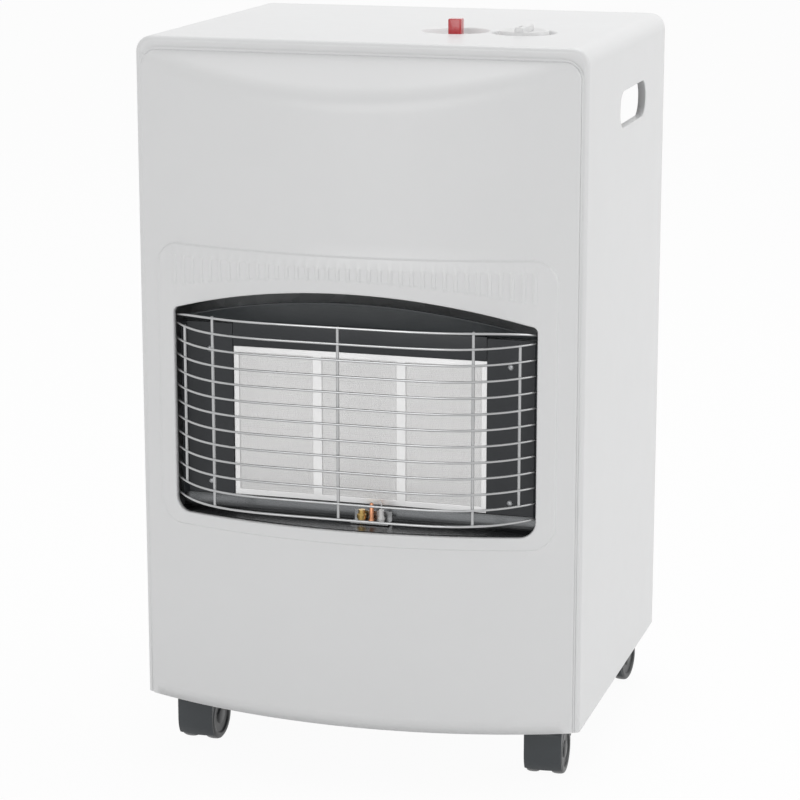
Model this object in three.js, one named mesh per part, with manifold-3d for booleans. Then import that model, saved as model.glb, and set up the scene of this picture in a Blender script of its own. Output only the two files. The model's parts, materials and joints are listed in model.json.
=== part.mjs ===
// Portable gas cabinet heater: a sheet steel cabinet on four twin-wheel castors, with a bowed front
// panel, three ceramic plaques behind a bulging wire guard, and room for a gas bottle at the back.
// Millimetres. +X is the right side seen from the front, the front faces -Y, +Z is up, and the
// floor is z = 0. Inside this file y = 0 is the middle of the cabinet's sides; the finished group is
// moved along Y so that its origin is the bottom centre of the whole object.
import * as THREE from "three";
import { mergeVertices } from "three/addons/utils/BufferGeometryUtils.js";
import Module from "manifold-3d";

const wasm = await Module();
wasm.setup();

// ---------------------------------------------------------------- driving dimensions

const cabinetWidth = 450;
const cabinetDepth = 370; // depth of the flat sides
const cabinetTop = 730; // height of the top face above the floor
const cabinetBottom = 62; // height of the sheet edges above the floor
const sheet = 1.2; // sheet steel thickness
const seat = 0.3; // gap between pieces that touch
const halfWidth = cabinetWidth / 2;
const frontY = -cabinetDepth / 2; // front edge of the flat sides
const backY = cabinetDepth / 2;

// wrap: sides and top in one bent sheet
const wrapCorner = 16; // outer radius of the top edges
const wrapFrontRound = 5; // rounding of the front edge
const rimTop = 12; // height of the rim above the front panel
const rimSide = 6; // width of the rim beside the front panel
const rimCorner = 18; // radius of the front opening's top corners
const backFlange = 14; // width of the flange round the back opening
const backCorner = 8;
const handHoldLength = 125;
const handHoldHeight = 36;
const handHoldY = 25; // centre, behind the middle of the side
const handHoldZ = cabinetTop - 76;
const handHoldLip = 8; // depth of the turned-in lip

// pressed control dishes in the top
const dishDepth = 7;
const dishDraft = 5; // the floor's radius is this much smaller
const buttonDishRadius = 34;
const knobDishRadius = 32.5;
const knobX = halfWidth - 94;
const buttonX = knobX - 69;
const controlY = frontY + 131;

// bowed front panel
const frontBow = 46; // how far the middle stands in front of the cabinet's edges
const panelGap = 0.5; // between the panel and the rim round it
const panelReturn = 14; // depth of the panel's turned edges
const crescentSlope = 0.78; // fall of the top crescent per mm forwards
const crescentRound = 15; // tangent length of the soft edge under the crescent
const windowHalfWidth = halfWidth - 42;
const windowLow = 262;
const windowShoulder = 467; // height where the arch meets the straight sides
const windowApex = windowShoulder + 29;
const windowLowCorner = 16;
const windowLip = 3; // depth of the lip turned in round the window, behind the bowed face
const embossHeight = 2; // the frame round the window stands this proud
const frameHalfWidth = windowHalfWidth + 19;
const frameLow = windowLow - 14;
const frameHigh = windowApex + 37;
const frameCorner = 25;
const ribCount = 36;
const ribWidth = 4.5;
const ribHeight = 1.2;
const ribTop = windowApex + 26;
const ribFootMiddle = windowApex + 12;
const ribFootEnd = windowShoulder + 22;
const ribRowHalf = windowHalfWidth - 3;

// wire guard
const guardBulge = 62; // how far the middle stands in front of the wire ends
const guardEndY = frontY - 5;
const guardSpan = windowHalfWidth + 3; // the wires bulge forwards inside this half width
const guardRodX = windowHalfWidth + 6; // upright rods hidden behind the panel
const guardPower = 4.7; // shapes the bulge: flat in the middle, steep at the ends
const guardWire = 1.15; // radius of the horizontal wires
const guardUpright = 1.5; // radius of the upright wires
const guardBite = 0.6; // crossing wires are welded this deep
const guardLow = windowLow + 17.5;
const guardHigh = windowShoulder + 0.5;
const guardWireCount = 13;
const guardTopDip = 11; // the ends of the top wire lie this much lower
const guardWideX = windowHalfWidth - 14.5; // outermost uprights
const guardNearX = windowHalfWidth - 53;

// ceramic plaques and their burner
const plaqueWidth = 80;
const plaqueHeight = windowShoulder - windowLow - 62;
const plaqueThick = 12;
const plaquePitch = 85.5;
const plaqueFront = frontY + 5;
const plaqueMiddleZ = windowLow + 19 + plaqueHeight / 2;
const plaqueCover = 2; // the retaining frame covers this much of each plaque's edge
const plenumDepth = 25;
const bracketX = 90; // brackets between the burner and the heat shield
const bracketHeight = 100;
const plaqueFrameMargin = 4;
const surroundBack = frontY + 3; // rear face of the dark side reflectors
const surroundHigh = windowApex - 45;
const mixingTubeRadius = 11;
const mixingMouthRadius = 14;
const mixingMouthLow = windowLow - 42;
const mixingTubeY = frontY + 30;
const manifoldZ = mixingMouthLow - 25;
const manifoldSize = 13;
const manifoldLeft = -98;
const manifoldRight = knobX - 7;
const manifoldBracketXs = [-60, 40];
const injectorHex = 5.5;
const injectorTip = 2.4;

// heat shield between the burner and the bottle
const shieldY = frontY + 62;
const shieldHigh = cabinetTop - 90;
const shieldFoot = 14;
const shieldTopForward = 45;
const shieldTopRise = 26;

// gas valve, knob and igniter
const valveHalfWidth = 30;
const valveHalfDepth = 25;
const valveHeight = 32;
const spindleRadius = 4;
const spindleTravel = 3.5;
const knobRadius = 25;
const knobSocket = 7; // the spindle reaches this far into the knob
const knobSkirt = 5.5;
const knobGrip = 11.5; // height of the grip bar above the knob's underside
const knobGripWidth = 9;
const buttonSize = 13;
const buttonHigh = cabinetTop + 12;
const buttonTravel = 5;
const bezelSize = 20;
const bezelWall = 3; // height of the bezel above the dish floor
const bezelSleeve = 1.3;
const bezelLow = cabinetTop - 20;
const piezoRadius = 9;
const piezoHeight = 46;

// pipes and leads: each runs down behind the shield in its own lane
const pipeRadius = 3;
const pilotPipeRadius = 2;
const leadRadius = 1.3;
const leadHigh = cabinetTop - 90; // the ignition lead turns towards the piezo igniter at this height
const laneY = shieldY + 15;
const laneLow = knobX - 24; // supply pipe of the middle plaque
const laneHigh = knobX - 13; // supply pipe of the outer plaques
const lanePilot = knobX - 1;
const laneThermocouple = knobX + 10;
const pilotPipeZ = windowLow - 29;
const thermocoupleZ = windowLow - 20;
const ignitionZ = windowLow - 11;

// pilot group in the tray under the plaques
const pilotY = frontY - 14;
const pilotX = 8;
const thermocoupleX = 18;
const electrodeX = 28;
const trayDepth = 80; // the tray lies less than this far behind the bowed face
const trayFloor = windowLow + 0.6;
const pilotLow = windowLow - 7; // underside of the pilot burner
const pilotCollar = trayFloor + 4.9; // height of the collars that rest on the bracket
const pipeTurnY = frontY + 2; // the pipes turn back here under the plaques
const pipeRunY = shieldY - 13; // and run sideways here, in front of the shield

// base plate
const baseLip = 18;
const socketRadius = 8;
const socketHeight = 17;
const bottlePad = 1.5; // the pressed pad that the bottle stands on is this much higher
const bottlePadHalf = halfWidth - 65;
const bottlePadFront = shieldY + 25;
const bottlePadBack = backY - 20;
const bottlePadCorner = 30;

// rear cover
const coverHalfWidth = halfWidth - 2;
const coverLow = cabinetBottom + 4;
const coverHigh = cabinetTop - 155;
const coverBulge = 12;
const coverBorder = 22;
const coverSlant = 10; // the bulge's edge leans in by this much
const coverStud = 3;
const coverStudX = halfWidth - 7.6;
const coverSlotCount = 6;
const coverSlotLength = 130;
const coverSlotX = 87;
const coverSlotHeight = 6;
const coverSlotPitch = 16;
const coverSlotInset = 110; // middle of each group of slots, from the cover's end
const coverStudInset = 60;

// castors
const wheelRadius = 25;
const wheelWidth = 12.4;
const webHalf = 6.3; // half the width of the hood's middle web
const casterHalf = 19; // half the width over both wheels
const casterTrail = 16; // the axle lies this far behind the stem
const casterX = halfWidth - 42;
const casterY = cabinetDepth / 2 - 34;
const hoodTop = cabinetBottom - 5;
const hoodWall = 2.6;
const wheelClear = 1; // between the tread and the hood
const axleRadius = 3;
const stemRadius = 4;
const stemLow = hoodTop - 20;
const casters = [
  { name: "front_left", side: -1, end: -1, turn: -3 },
  { name: "front_right", side: 1, end: -1, turn: 2 },
  { name: "rear_left", side: -1, end: 1, turn: 14 },
  { name: "rear_right", side: 1, end: 1, turn: -6 },
];

// ---------------------------------------------------------------- derived dimensions

const innerHalf = halfWidth - sheet;
const bowRadius = (halfWidth ** 2 + frontBow ** 2) / (2 * frontBow);
const bowCentreY = frontY - frontBow + bowRadius;
const panelHalf = halfWidth - rimSide - panelGap;
const panelTop = cabinetTop - rimTop - panelGap;
const panelBack = frontY + panelReturn;
const dishFloor = cabinetTop - dishDepth;
const dishUnder = dishFloor - sheet;
const archRise = windowApex - windowShoulder;
const archRadius = (windowHalfWidth ** 2 + archRise ** 2) / (2 * archRise);
const plaqueBack = plaqueFront + plaqueThick;
const housingBack = plaqueBack + plenumDepth;
const housingHalf = plaquePitch + plaqueWidth / 2 + 1.5;
const housingHigh = plaqueMiddleZ + plaqueHeight / 2 + 1.2;
const housingLow = plaqueMiddleZ - plaqueHeight / 2 - 1.2;
const plaqueFrameHalf = housingHalf + 2;
const plaqueFrameLow = plaqueMiddleZ - plaqueHeight / 2 - plaqueFrameMargin;
const plaqueFrameHigh = plaqueMiddleZ + plaqueHeight / 2 + plaqueFrameMargin;
const plaqueXs = [-plaquePitch, 0, plaquePitch];
const plaqueNames = ["left", "middle", "right"];
const studHeights = [coverLow + coverStudInset, coverHigh - coverStudInset];
const coverBack = backY + seat + coverBulge + sheet;
const guardMiddleY = guardEndY - guardBulge;
const guardFront = guardMiddleY - guardWire;
const valveTop = dishUnder - seat;
const portZ = valveTop - valveHeight / 2; // pipes join the valve at this height,
const portY = controlY - valveHalfDepth - seat; // on its front face
const spindleLow = valveTop - 24;
const knobLow = dishFloor + spindleTravel + 0.5;
const axleZ = wheelRadius;

// front face of the bowed panel at x, moved outwards by `out`
const bowY = (x, out = 0) => bowCentreY - Math.sqrt((bowRadius + out) ** 2 - x ** 2);
// top of the window at x, moved outwards by `grow`
const archZ = (x, grow = 0) => windowApex - archRadius + Math.sqrt((archRadius + grow) ** 2 - x ** 2);
// centre line of a guard wire, seen from above
const guardY = (x) => guardEndY - guardBulge * (1 - Math.min(1, Math.abs(x) / guardSpan) ** guardPower);

// ---------------------------------------------------------------- geometry helpers

const bowSteps = 18;
const roundSteps = 24;

function solid(geometry) {
  const bare = geometry.index ? geometry.toNonIndexed() : geometry.clone();
  bare.deleteAttribute("normal");
  bare.deleteAttribute("uv");
  const merged = mergeVertices(bare, 1e-4);
  const triVerts = new Uint32Array(merged.index.array);
  const vertProperties = merged.attributes.position.array;
  const make = () => new wasm.Manifold(new wasm.Mesh({ numProp: 3, vertProperties, triVerts }));
  const made = make();
  if (made.volume() > 0) return made;
  for (let i = 0; i < triVerts.length; i += 3) {
    [triVerts[i + 1], triVerts[i + 2]] = [triVerts[i + 2], triVerts[i + 1]];
  }
  return make();
}

function geometryOf(manifold) {
  const mesh = manifold.getMesh();
  const positions = new Float32Array(mesh.numVert * 3);
  for (let i = 0; i < mesh.numVert; i++) {
    positions.set(mesh.vertProperties.subarray(i * mesh.numProp, i * mesh.numProp + 3), i * 3);
  }
  const geometry = new THREE.BufferGeometry();
  geometry.setAttribute("position", new THREE.BufferAttribute(positions, 3));
  geometry.setIndex(new THREE.BufferAttribute(mesh.triVerts, 1));
  geometry.computeVertexNormals();
  return geometry;
}

const join = (...solids) => solids.flat().reduce((a, b) => a.add(b));
const cut = (body, ...tools) => tools.flat().reduce((a, b) => a.subtract(b), body);

function box(x0, x1, y0, y1, z0, z1) {
  const geometry = new THREE.BoxGeometry(x1 - x0, y1 - y0, z1 - z0);
  return solid(geometry.translate((x0 + x1) / 2, (y0 + y1) / 2, (z0 + z1) / 2));
}

const shapeOf = (points) => new THREE.Shape(points.map(([a, b]) => new THREE.Vector2(a, b)));

// An outline of [a, b] points pushed along the third axis: x, y or z.
const pushFrames = {
  x: [new THREE.Vector3(0, 1, 0), new THREE.Vector3(0, 0, 1), new THREE.Vector3(1, 0, 0)],
  y: [new THREE.Vector3(1, 0, 0), new THREE.Vector3(0, 0, 1), new THREE.Vector3(0, -1, 0)],
  z: [new THREE.Vector3(1, 0, 0), new THREE.Vector3(0, 1, 0), new THREE.Vector3(0, 0, 1)],
};

function prism(axis, points, low, high) {
  const geometry = new THREE.ExtrudeGeometry(shapeOf(points), { depth: high - low, bevelEnabled: false });
  geometry.translate(0, 0, axis === "y" ? -high : low);
  return solid(geometry.applyMatrix4(new THREE.Matrix4().makeBasis(...pushFrames[axis])));
}

// A profile of [radius, z] points turned about a vertical axis through x, y.
function turned(points, x = 0, y = 0, steps = roundSteps) {
  const profile = points.map(([r, z]) => new THREE.Vector2(r, z));
  return solid(new THREE.LatheGeometry(profile, steps).rotateX(Math.PI / 2).translate(x, y, 0));
}

const rod = (radius, z0, z1, x, y, steps = roundSteps) =>
  turned([[0, z0], [radius, z0], [radius, z1], [0, z1]], x, y, steps);

// The same, turned to lie along X or Y through the point x, y, z.
function lyingRod(axis, radius, low, high, across, z, steps = roundSteps) {
  const geometry = new THREE.CylinderGeometry(radius, radius, high - low, steps);
  if (axis === "x") geometry.rotateZ(Math.PI / 2).translate((low + high) / 2, across, z);
  else geometry.translate(across, (low + high) / 2, z);
  return solid(geometry);
}

// Closed rings of equal count, each convex, joined into one skin with flat ends.
function loft(rings) {
  const count = rings[0].length;
  const positions = rings.flat().flatMap((p) => [p.x, p.y, p.z]);
  const index = [];
  rings.slice(1).forEach((_, r) => {
    for (let i = 0; i < count; i++) {
      const next = (i + 1) % count;
      const a = r * count + i;
      const b = r * count + next;
      index.push(a, b, b + count, a, b + count, a + count);
    }
  });
  const last = (rings.length - 1) * count;
  for (let i = 1; i < count - 1; i++) {
    index.push(0, i + 1, i, last, last + i, last + i + 1);
  }
  const geometry = new THREE.BufferGeometry();
  geometry.setAttribute("position", new THREE.Float32BufferAttribute(positions, 3));
  geometry.setIndex(index);
  return solid(geometry);
}

// Corners given as [a, b, radius], each rounded by an arc.
function rounded(corners, steps = 5) {
  return corners.flatMap(([a, b, radius], i) => {
    if (!radius) return [[a, b]];
    const corner = new THREE.Vector2(a, b);
    const toPrevious = new THREE.Vector2(...corners.at(i - 1)).sub(corner).normalize();
    const toNext = new THREE.Vector2(...corners[(i + 1) % corners.length]).sub(corner).normalize();
    const half = toPrevious.angleTo(toNext) / 2;
    const middle = toPrevious.clone().add(toNext).normalize();
    const centre = corner.clone().addScaledVector(middle, radius / Math.sin(half));
    const start = corner.clone().addScaledVector(toPrevious, radius / Math.tan(half)).sub(centre);
    const turn = Math.sign(toPrevious.cross(toNext)) * (Math.PI - 2 * half);
    return Array.from({ length: steps + 1 }, (_, k) => {
      const p = start.clone().rotateAround(new THREE.Vector2(), (-turn * k) / steps).add(centre);
      return [p.x, p.y];
    });
  });
}

const roundedBox = (a0, a1, b0, b1, radius, steps) =>
  rounded([[a0, b0, radius], [a1, b0, radius], [a1, b1, radius], [a0, b1, radius]], steps);

// A sheet seen edge on: an open line of [a, b] points with its thickness to the left of its way.
function ribbon(points, thickness) {
  const offset = points.map((point, i) => {
    const here = new THREE.Vector2(...point);
    const before = i ? here.clone().sub(new THREE.Vector2(...points[i - 1])).normalize() : null;
    const after = points[i + 1] ? new THREE.Vector2(...points[i + 1]).sub(here).normalize() : null;
    const left = (v) => new THREE.Vector2(-v.y, v.x);
    if (!before || !after) return here.addScaledVector(left(before ?? after), thickness).toArray();
    const mitre = left(before).add(left(after)).normalize();
    return here.addScaledVector(mitre, thickness / mitre.dot(left(after))).toArray();
  });
  return [...points, ...offset.reverse()];
}

// A round tube along the points of a smooth way; the end rings stand square to it.
function sweep(way, radius, sides) {
  const tangents = way.map((p, i) => (way[i + 1] ?? p).clone().sub(way[i - 1] ?? p).normalize());
  const normal = new THREE.Vector3(1, 0, 0);
  if (Math.abs(tangents[0].x) > 0.7) normal.set(0, 0, -1);
  normal.cross(tangents[0]).normalize();
  return loft(way.map((p, i) => {
    if (i) normal.applyQuaternion(new THREE.Quaternion().setFromUnitVectors(tangents[i - 1], tangents[i]));
    return Array.from({ length: sides }, (_, k) =>
      normal.clone().applyAxisAngle(tangents[i], (2 * Math.PI * k) / sides).multiplyScalar(radius).add(p));
  }));
}

// The same through corner points, each corner rounded by an arc that starts `bend` before it.
function tube(points, radius, bend, sides = 8) {
  const corners = points.map((p) => new THREE.Vector3(...p));
  const way = corners.flatMap((corner, i) => {
    const before = corners[i - 1];
    const after = corners[i + 1];
    if (!before || !after) return [corner];
    const start = corner.clone().add(before.clone().sub(corner).setLength(bend));
    const end = corner.clone().add(after.clone().sub(corner).setLength(bend));
    return new THREE.QuadraticBezierCurve3(start, corner, end).getPoints(3);
  });
  return sweep(way, radius, sides);
}

// ---------------------------------------------------------------- cabinet

// Front view of the cabinet, pulled in by `inset` all round; the foot stays below `low`.
function cabinetOutline(inset, topInset, radius, low = cabinetBottom) {
  const a = halfWidth - inset;
  const top = cabinetTop - topInset;
  return rounded([[-a, low, 0], [a, low, 0], [a, top, radius], [-a, top, radius]], 6);
}

// The cabinet's solid form, pulled in by `inset`, with its front edge rounded.
function cabinetForm(inset, low) {
  const roundingSteps = 4;
  const round = wrapFrontRound - inset;
  const ring = (y, pull) => cabinetOutline(pull, pull, wrapCorner - pull, low)
    .map(([x, z]) => new THREE.Vector3(x, y, z));
  const front = Array.from({ length: roundingSteps + 1 }, (_, i) => {
    const angle = (Math.PI / 2) * (i / roundingSteps);
    return ring(frontY + inset + round * (1 - Math.cos(angle)), inset + round * (1 - Math.sin(angle)));
  });
  return loft([...front, ring(backY - inset, inset)]);
}

function cabinetWrap() {
  const openBelow = cabinetBottom - 5;
  const opening = (inset, topInset, radius, low, high) =>
    prism("y", cabinetOutline(inset, topInset, radius, openBelow), low, high);
  const openFront = opening(rimSide, rimTop, rimCorner, frontY - 1, frontY + 20);
  const openBack = opening(backFlange, backFlange, backCorner, backY - 20, backY + 1);
  const slotHalf = handHoldLength / 2;
  const slot = (grow) => roundedBox(
    handHoldY - slotHalf - grow, handHoldY + slotHalf + grow,
    handHoldZ - handHoldHeight / 2 - grow, handHoldZ + handHoldHeight / 2 + grow,
    handHoldHeight / 2 - 0.01 + grow, 6,
  );
  const lipInner = halfWidth - handHoldLip;
  const lips = [
    prism("x", slot(sheet), lipInner, innerHalf + 0.5),
    prism("x", slot(sheet), -innerHalf - 0.5, -lipInner),
  ];
  const slots = prism("x", slot(0), -halfWidth - 1, halfWidth + 1);
  const dishes = [dish(buttonX, buttonDishRadius, sheet), dish(knobX, knobDishRadius, sheet)];
  const dishHollows = [dish(buttonX, buttonDishRadius, 0), dish(knobX, knobDishRadius, 0)];
  const buttonHole = (bezelSize - 4) / 2 + seat;
  const holes = [
    rod(spindleRadius + 2, dishUnder - 1, dishFloor + 1, knobX, controlY),
    box(buttonX - buttonHole, buttonX + buttonHole, controlY - buttonHole, controlY + buttonHole,
      dishUnder - 1, dishFloor + 1),
  ];
  for (const x of [-coverStudX, coverStudX]) {
    for (const z of studHeights) holes.push(lyingRod("y", coverStud + seat, backY - 3, backY + 2, x, z, 12));
  }
  const shell = cut(cabinetForm(0, cabinetBottom), openFront, cabinetForm(sheet, openBelow), openBack);
  return cut(join(shell, lips, dishes), slots, dishHollows, holes);
}

// A pressed dish; `wall` gives the sheet's underside, 0 the hollow itself.
function dish(x, radius, wall) {
  const low = dishFloor - wall;
  const high = wall ? cabinetTop - sheet / 2 : cabinetTop + 1;
  const floor = radius - dishDraft + wall;
  return turned([[0, low], [floor, low], [radius + wall, high], [0, high]], x, controlY, 28);
}

// Side view of the panel at x, pulled in by `inset`: turned edges, bowed face and sloped crescent.
function panelRing(x, inset, back) {
  const face = bowY(x) + inset;
  const low = cabinetBottom + inset;
  const high = panelTop - inset;
  const drop = inset * Math.hypot(1, crescentSlope);
  const slopeZ = (y) => panelTop - crescentSlope * (frontY - y) - drop;
  const edge = new THREE.Vector2(face, slopeZ(face));
  const crest = new THREE.Vector2(frontY - (inset - drop) / crescentSlope, high);
  const reach = edge.distanceTo(crest);
  const soft = Math.min(crescentRound, reach * 0.8);
  const start = edge.clone().add(new THREE.Vector2(0, -soft));
  const end = edge.clone().lerp(crest, soft / reach);
  const curve = new THREE.QuadraticBezierCurve(start, edge, end).getPoints(5);
  return [[back, low], [face, low], ...curve.map((p) => [p.x, p.y]), [crest.x, high], [back, high]]
    .map(([y, z]) => new THREE.Vector3(x, y, z));
}

const bowAngles = Array.from(
  { length: bowSteps + 1 },
  (_, i) => Math.asin((panelHalf - 0.01) / bowRadius) * ((2 * i) / bowSteps - 1),
);

const panelLoft = (inset, back) =>
  loft(bowAngles.map((angle) => panelRing(bowRadius * Math.sin(angle), inset, back)));

// A slab that follows the bow, between two distances in front of (+) or behind (-) the face.
function bowSlab(outer, inner, low, high) {
  const arc = (out) => bowAngles.map((angle) => [
    (bowRadius + out) * Math.sin(angle), bowCentreY - (bowRadius + out) * Math.cos(angle),
  ]);
  return prism("z", [...arc(outer), ...arc(inner).reverse()], low, high);
}

function windowOutline(grow) {
  const a = windowHalfWidth + grow;
  const low = windowLow - grow;
  const steps = 16;
  const arch = Array.from({ length: steps - 1 }, (_, i) => {
    const x = a * (1 - (2 * (i + 1)) / steps);
    return [x, archZ(x, grow), 0];
  });
  const corner = windowLowCorner + grow;
  const shoulder = archZ(a, grow);
  return rounded([[-a, low, corner], [a, low, corner], [a, shoulder, 8], ...arch, [-a, shoulder, 8]]);
}

function frontPanel() {
  const outline = (inset, low) => {
    const a = panelHalf - inset;
    const high = panelTop - inset;
    const radius = rimCorner - inset;
    return rounded([[-a, low, 0], [a, low, 0], [a, high, radius], [-a, high, radius]], 6);
  };
  const reach = [bowY(0) - 20, panelBack + 20];
  const outer = panelLoft(0, panelBack).intersect(prism("y", outline(0, cabinetBottom), ...reach));
  const inner = panelLoft(sheet, panelBack + 5)
    .intersect(prism("y", outline(sheet, cabinetBottom + sheet), ...reach));
  const frame = (inset) => prism("y", roundedBox(
    inset - frameHalfWidth, frameHalfWidth - inset, frameLow + inset, frameHigh - inset, frameCorner - inset,
  ), ...reach);
  const slabRange = [frameLow - 5, frameHigh + 5];
  const raised = join(
    bowSlab(embossHeight / 2, -sheet / 2, ...slabRange).intersect(frame(0)),
    bowSlab(embossHeight, -sheet / 2, ...slabRange).intersect(frame(1.5)),
  );
  const recess = bowSlab(embossHeight - sheet, -sheet - 1, ...slabRange).intersect(frame(sheet + 1.5));
  const lip = bowSlab(embossHeight - sheet / 2, -windowLip, ...slabRange)
    .intersect(prism("y", windowOutline(sheet), ...reach));
  const opening = prism("y", windowOutline(0), ...reach);
  return cut(join(cut(join(cut(outer, inner), raised), recess), lip, ribs()), opening);
}

function ribs() {
  return Array.from({ length: ribCount }, (_, i) => {
    const x = ribRowHalf * ((2 * i) / (ribCount - 1) - 1);
    const foot = ribFootMiddle - (ribFootMiddle - ribFootEnd) * (x / ribRowHalf) ** 2;
    const face = bowY(x, embossHeight);
    const outline = [[face + 0.6, foot], [face - ribHeight, foot + 3],
      [face - ribHeight, ribTop - 3], [face + 0.6, ribTop]];
    const turn = THREE.MathUtils.radToDeg(Math.asin(x / bowRadius));
    const upright = prism("x", outline, -ribWidth / 2, ribWidth / 2);
    return upright.translate([0, -face, 0]).rotate([0, 0, turn]).translate([x, face, 0]);
  });
}

function basePlate() {
  const a = innerHalf - seat;
  const front = panelBack + seat;
  const back = backY - sheet - seat;
  const top = cabinetBottom + baseLip;
  const tray = cut(
    box(-a, a, front, back, cabinetBottom, top),
    box(-a + sheet, a - sheet, front + sheet, back - sheet, cabinetBottom + sheet, top + 1),
  );
  const atStems = (radius, low, high) => casters.map(({ side, end }) =>
    rod(radius, cabinetBottom + low, cabinetBottom + high, side * casterX, end * casterY, 12));
  const pad = (inset, low, high) => prism("z", roundedBox(
    inset - bottlePadHalf, bottlePadHalf - inset, bottlePadFront + inset, bottlePadBack - inset,
    bottlePadCorner - inset,
  ), cabinetBottom + low, cabinetBottom + high);
  return cut(
    join(tray, atStems(socketRadius, sheet / 2, socketHeight), pad(0, sheet / 2, sheet + bottlePad)),
    atStems(stemRadius + seat, -1, socketHeight + 1),
    pad(sheet, -1, bottlePad),
  );
}

function heatShield() {
  const a = innerHalf - seat;
  const foot = cabinetBottom + sheet + seat;
  const profile = ribbon([
    [shieldY - shieldTopForward, shieldHigh + shieldTopRise],
    [shieldY, shieldHigh],
    [shieldY, foot],
    [shieldY + shieldFoot, foot],
  ], sheet);
  const hole = (x0, x1, z) => box(x0, x1, shieldY - 5, shieldY + 5, z - 6, z + 6);
  const panel = prism("x", profile, -a + sheet, a - sheet);
  return cut(
    panel,
    hole(laneLow - 6, laneHigh + 6, manifoldZ),
    hole(lanePilot - 6, lanePilot + 6, pilotPipeZ),
    hole(laneThermocouple - 5, laneThermocouple + 5, thermocoupleZ),
    hole(buttonX - 5, buttonX + 5, ignitionZ),
  );
}

function rearCover() {
  const near = backY + seat;
  const pan = (inset, y) => {
    const border = coverBorder + inset;
    const half = coverHalfWidth - border;
    return roundedBox(-half, half, coverLow + border, coverHigh - border, 14)
      .map(([x, z]) => new THREE.Vector3(x, y, z));
  };
  const edge = roundedBox(-coverHalfWidth, coverHalfWidth, coverLow, coverHigh, 6);
  const sheetPlate = prism("y", edge, near, near + sheet);
  const bulge = loft([pan(0, near), pan(coverSlant, coverBack)]);
  const hollow = loft([pan(sheet, near - 1), pan(coverSlant + sheet, coverBack - sheet)]);
  const slots = [];
  for (const middle of [coverLow + coverSlotInset, coverHigh - coverSlotInset]) {
    for (const side of [-1, 1]) {
      for (let i = 0; i < coverSlotCount; i++) {
        const z = middle + coverSlotPitch * (i - (coverSlotCount - 1) / 2);
        const left = side * coverSlotX - coverSlotLength / 2;
        const half = coverSlotHeight / 2;
        slots.push(box(left, left + coverSlotLength, near, coverBack + 1, z - half, z + half));
      }
    }
  }
  const studs = [-coverStudX, coverStudX].flatMap((x) =>
    studHeights.map((z) => lyingRod("y", coverStud, backY - 8, near + sheet / 2, x, z, 12)));
  return join(cut(join(sheetPlate, bulge), hollow, slots), studs);
}

// ---------------------------------------------------------------- fire side

function guard() {
  const stations = 13;
  const sides = 4;
  const pitch = (guardHigh - guardLow) / (guardWireCount - 1);
  const horizontals = Array.from({ length: guardWireCount }, (_, i) => {
    const z = guardLow + pitch * i;
    const dip = i === guardWireCount - 1 ? guardTopDip : 0;
    const way = Array.from({ length: stations + 1 }, (_, k) => {
      const share = Math.sin((Math.PI / 2) * ((2 * k) / stations - 1));
      const x = guardRodX * share;
      return new THREE.Vector3(x, guardY(x), z - dip * Math.abs(share) ** 8);
    });
    return sweep(way, guardWire, sides);
  });
  const uprightY = (x) => guardY(x) + guardWire + guardUpright - guardBite;
  const uprights = [
    [0, 0, 0], [guardNearX, 0, 0], [-guardNearX, 0, 0], [guardWideX, 1, 1], [-guardWideX, 1, 1],
  ].map(([x, skipLow, skipHigh]) => rod(
    guardUpright, guardLow + pitch * skipLow - 1, guardHigh - pitch * skipHigh + 1, x, uprightY(x), sides,
  ));
  const footZs = [guardLow - 5, guardHigh - guardTopDip + 4];
  const panelInside = bowY(guardRodX + guardUpright, embossHeight - sheet) + seat;
  for (const x of [-guardRodX, guardRodX]) {
    uprights.push(
      rod(guardUpright, footZs[0] - guardUpright, footZs[1] + guardUpright, x, guardEndY, sides),
      ...footZs.map((z) => lyingRod("y", guardUpright, panelInside, guardEndY + guardBite, x, z, sides)),
    );
  }
  return join(horizontals, uprights);
}

function sideReflector(side) {
  const points = [
    [plaqueFrameHalf + seat, surroundBack], [windowHalfWidth - 6, surroundBack],
    [windowHalfWidth - 2, surroundBack - 8],
  ];
  const profile = ribbon(points, -sheet).map(([x, y]) => [side * x, y]);
  return prism("z", profile, plaqueFrameLow, surroundHigh - seat);
}

function topDeflector() {
  const half = windowHalfWidth - 3;
  const stations = 16;
  const band = box(
    -housingHalf - 1.5, housingHalf + 1.5, surroundBack - sheet, surroundBack,
    plaqueFrameHigh + seat, surroundHigh + 2 * sheet,
  );
  const rings = Array.from({ length: stations + 1 }, (_, i) => {
    const x = half * ((2 * i) / stations - 1);
    const crest = [bowY(x) + 11, archZ(x) - 12];
    const points = ribbon([[surroundBack, surroundHigh + sheet], crest], sheet);
    return points.map(([y, z]) => new THREE.Vector3(x, y, z));
  });
  return join(band, loft(rings));
}

function bottomReflector() {
  const half = windowHalfWidth - 2;
  const profile = ribbon([
    [surroundBack - sheet, plaqueFrameLow - seat], [surroundBack - 2.5, trayFloor + 5.5],
    [surroundBack - 6, trayFloor + 1.8], [surroundBack - 12, trayFloor + 0.6], [bowY(0), trayFloor],
  ], sheet);
  const inside = bowSlab(-windowLip - seat, -trayDepth, trayFloor - 5, plaqueFrameLow + 5);
  const hole = box(pilotX - 6, electrodeX + 6, pilotY - 5, pilotY + 5, trayFloor - 5, trayFloor + 10);
  return cut(prism("x", profile, -half, half).intersect(inside), hole);
}

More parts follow.
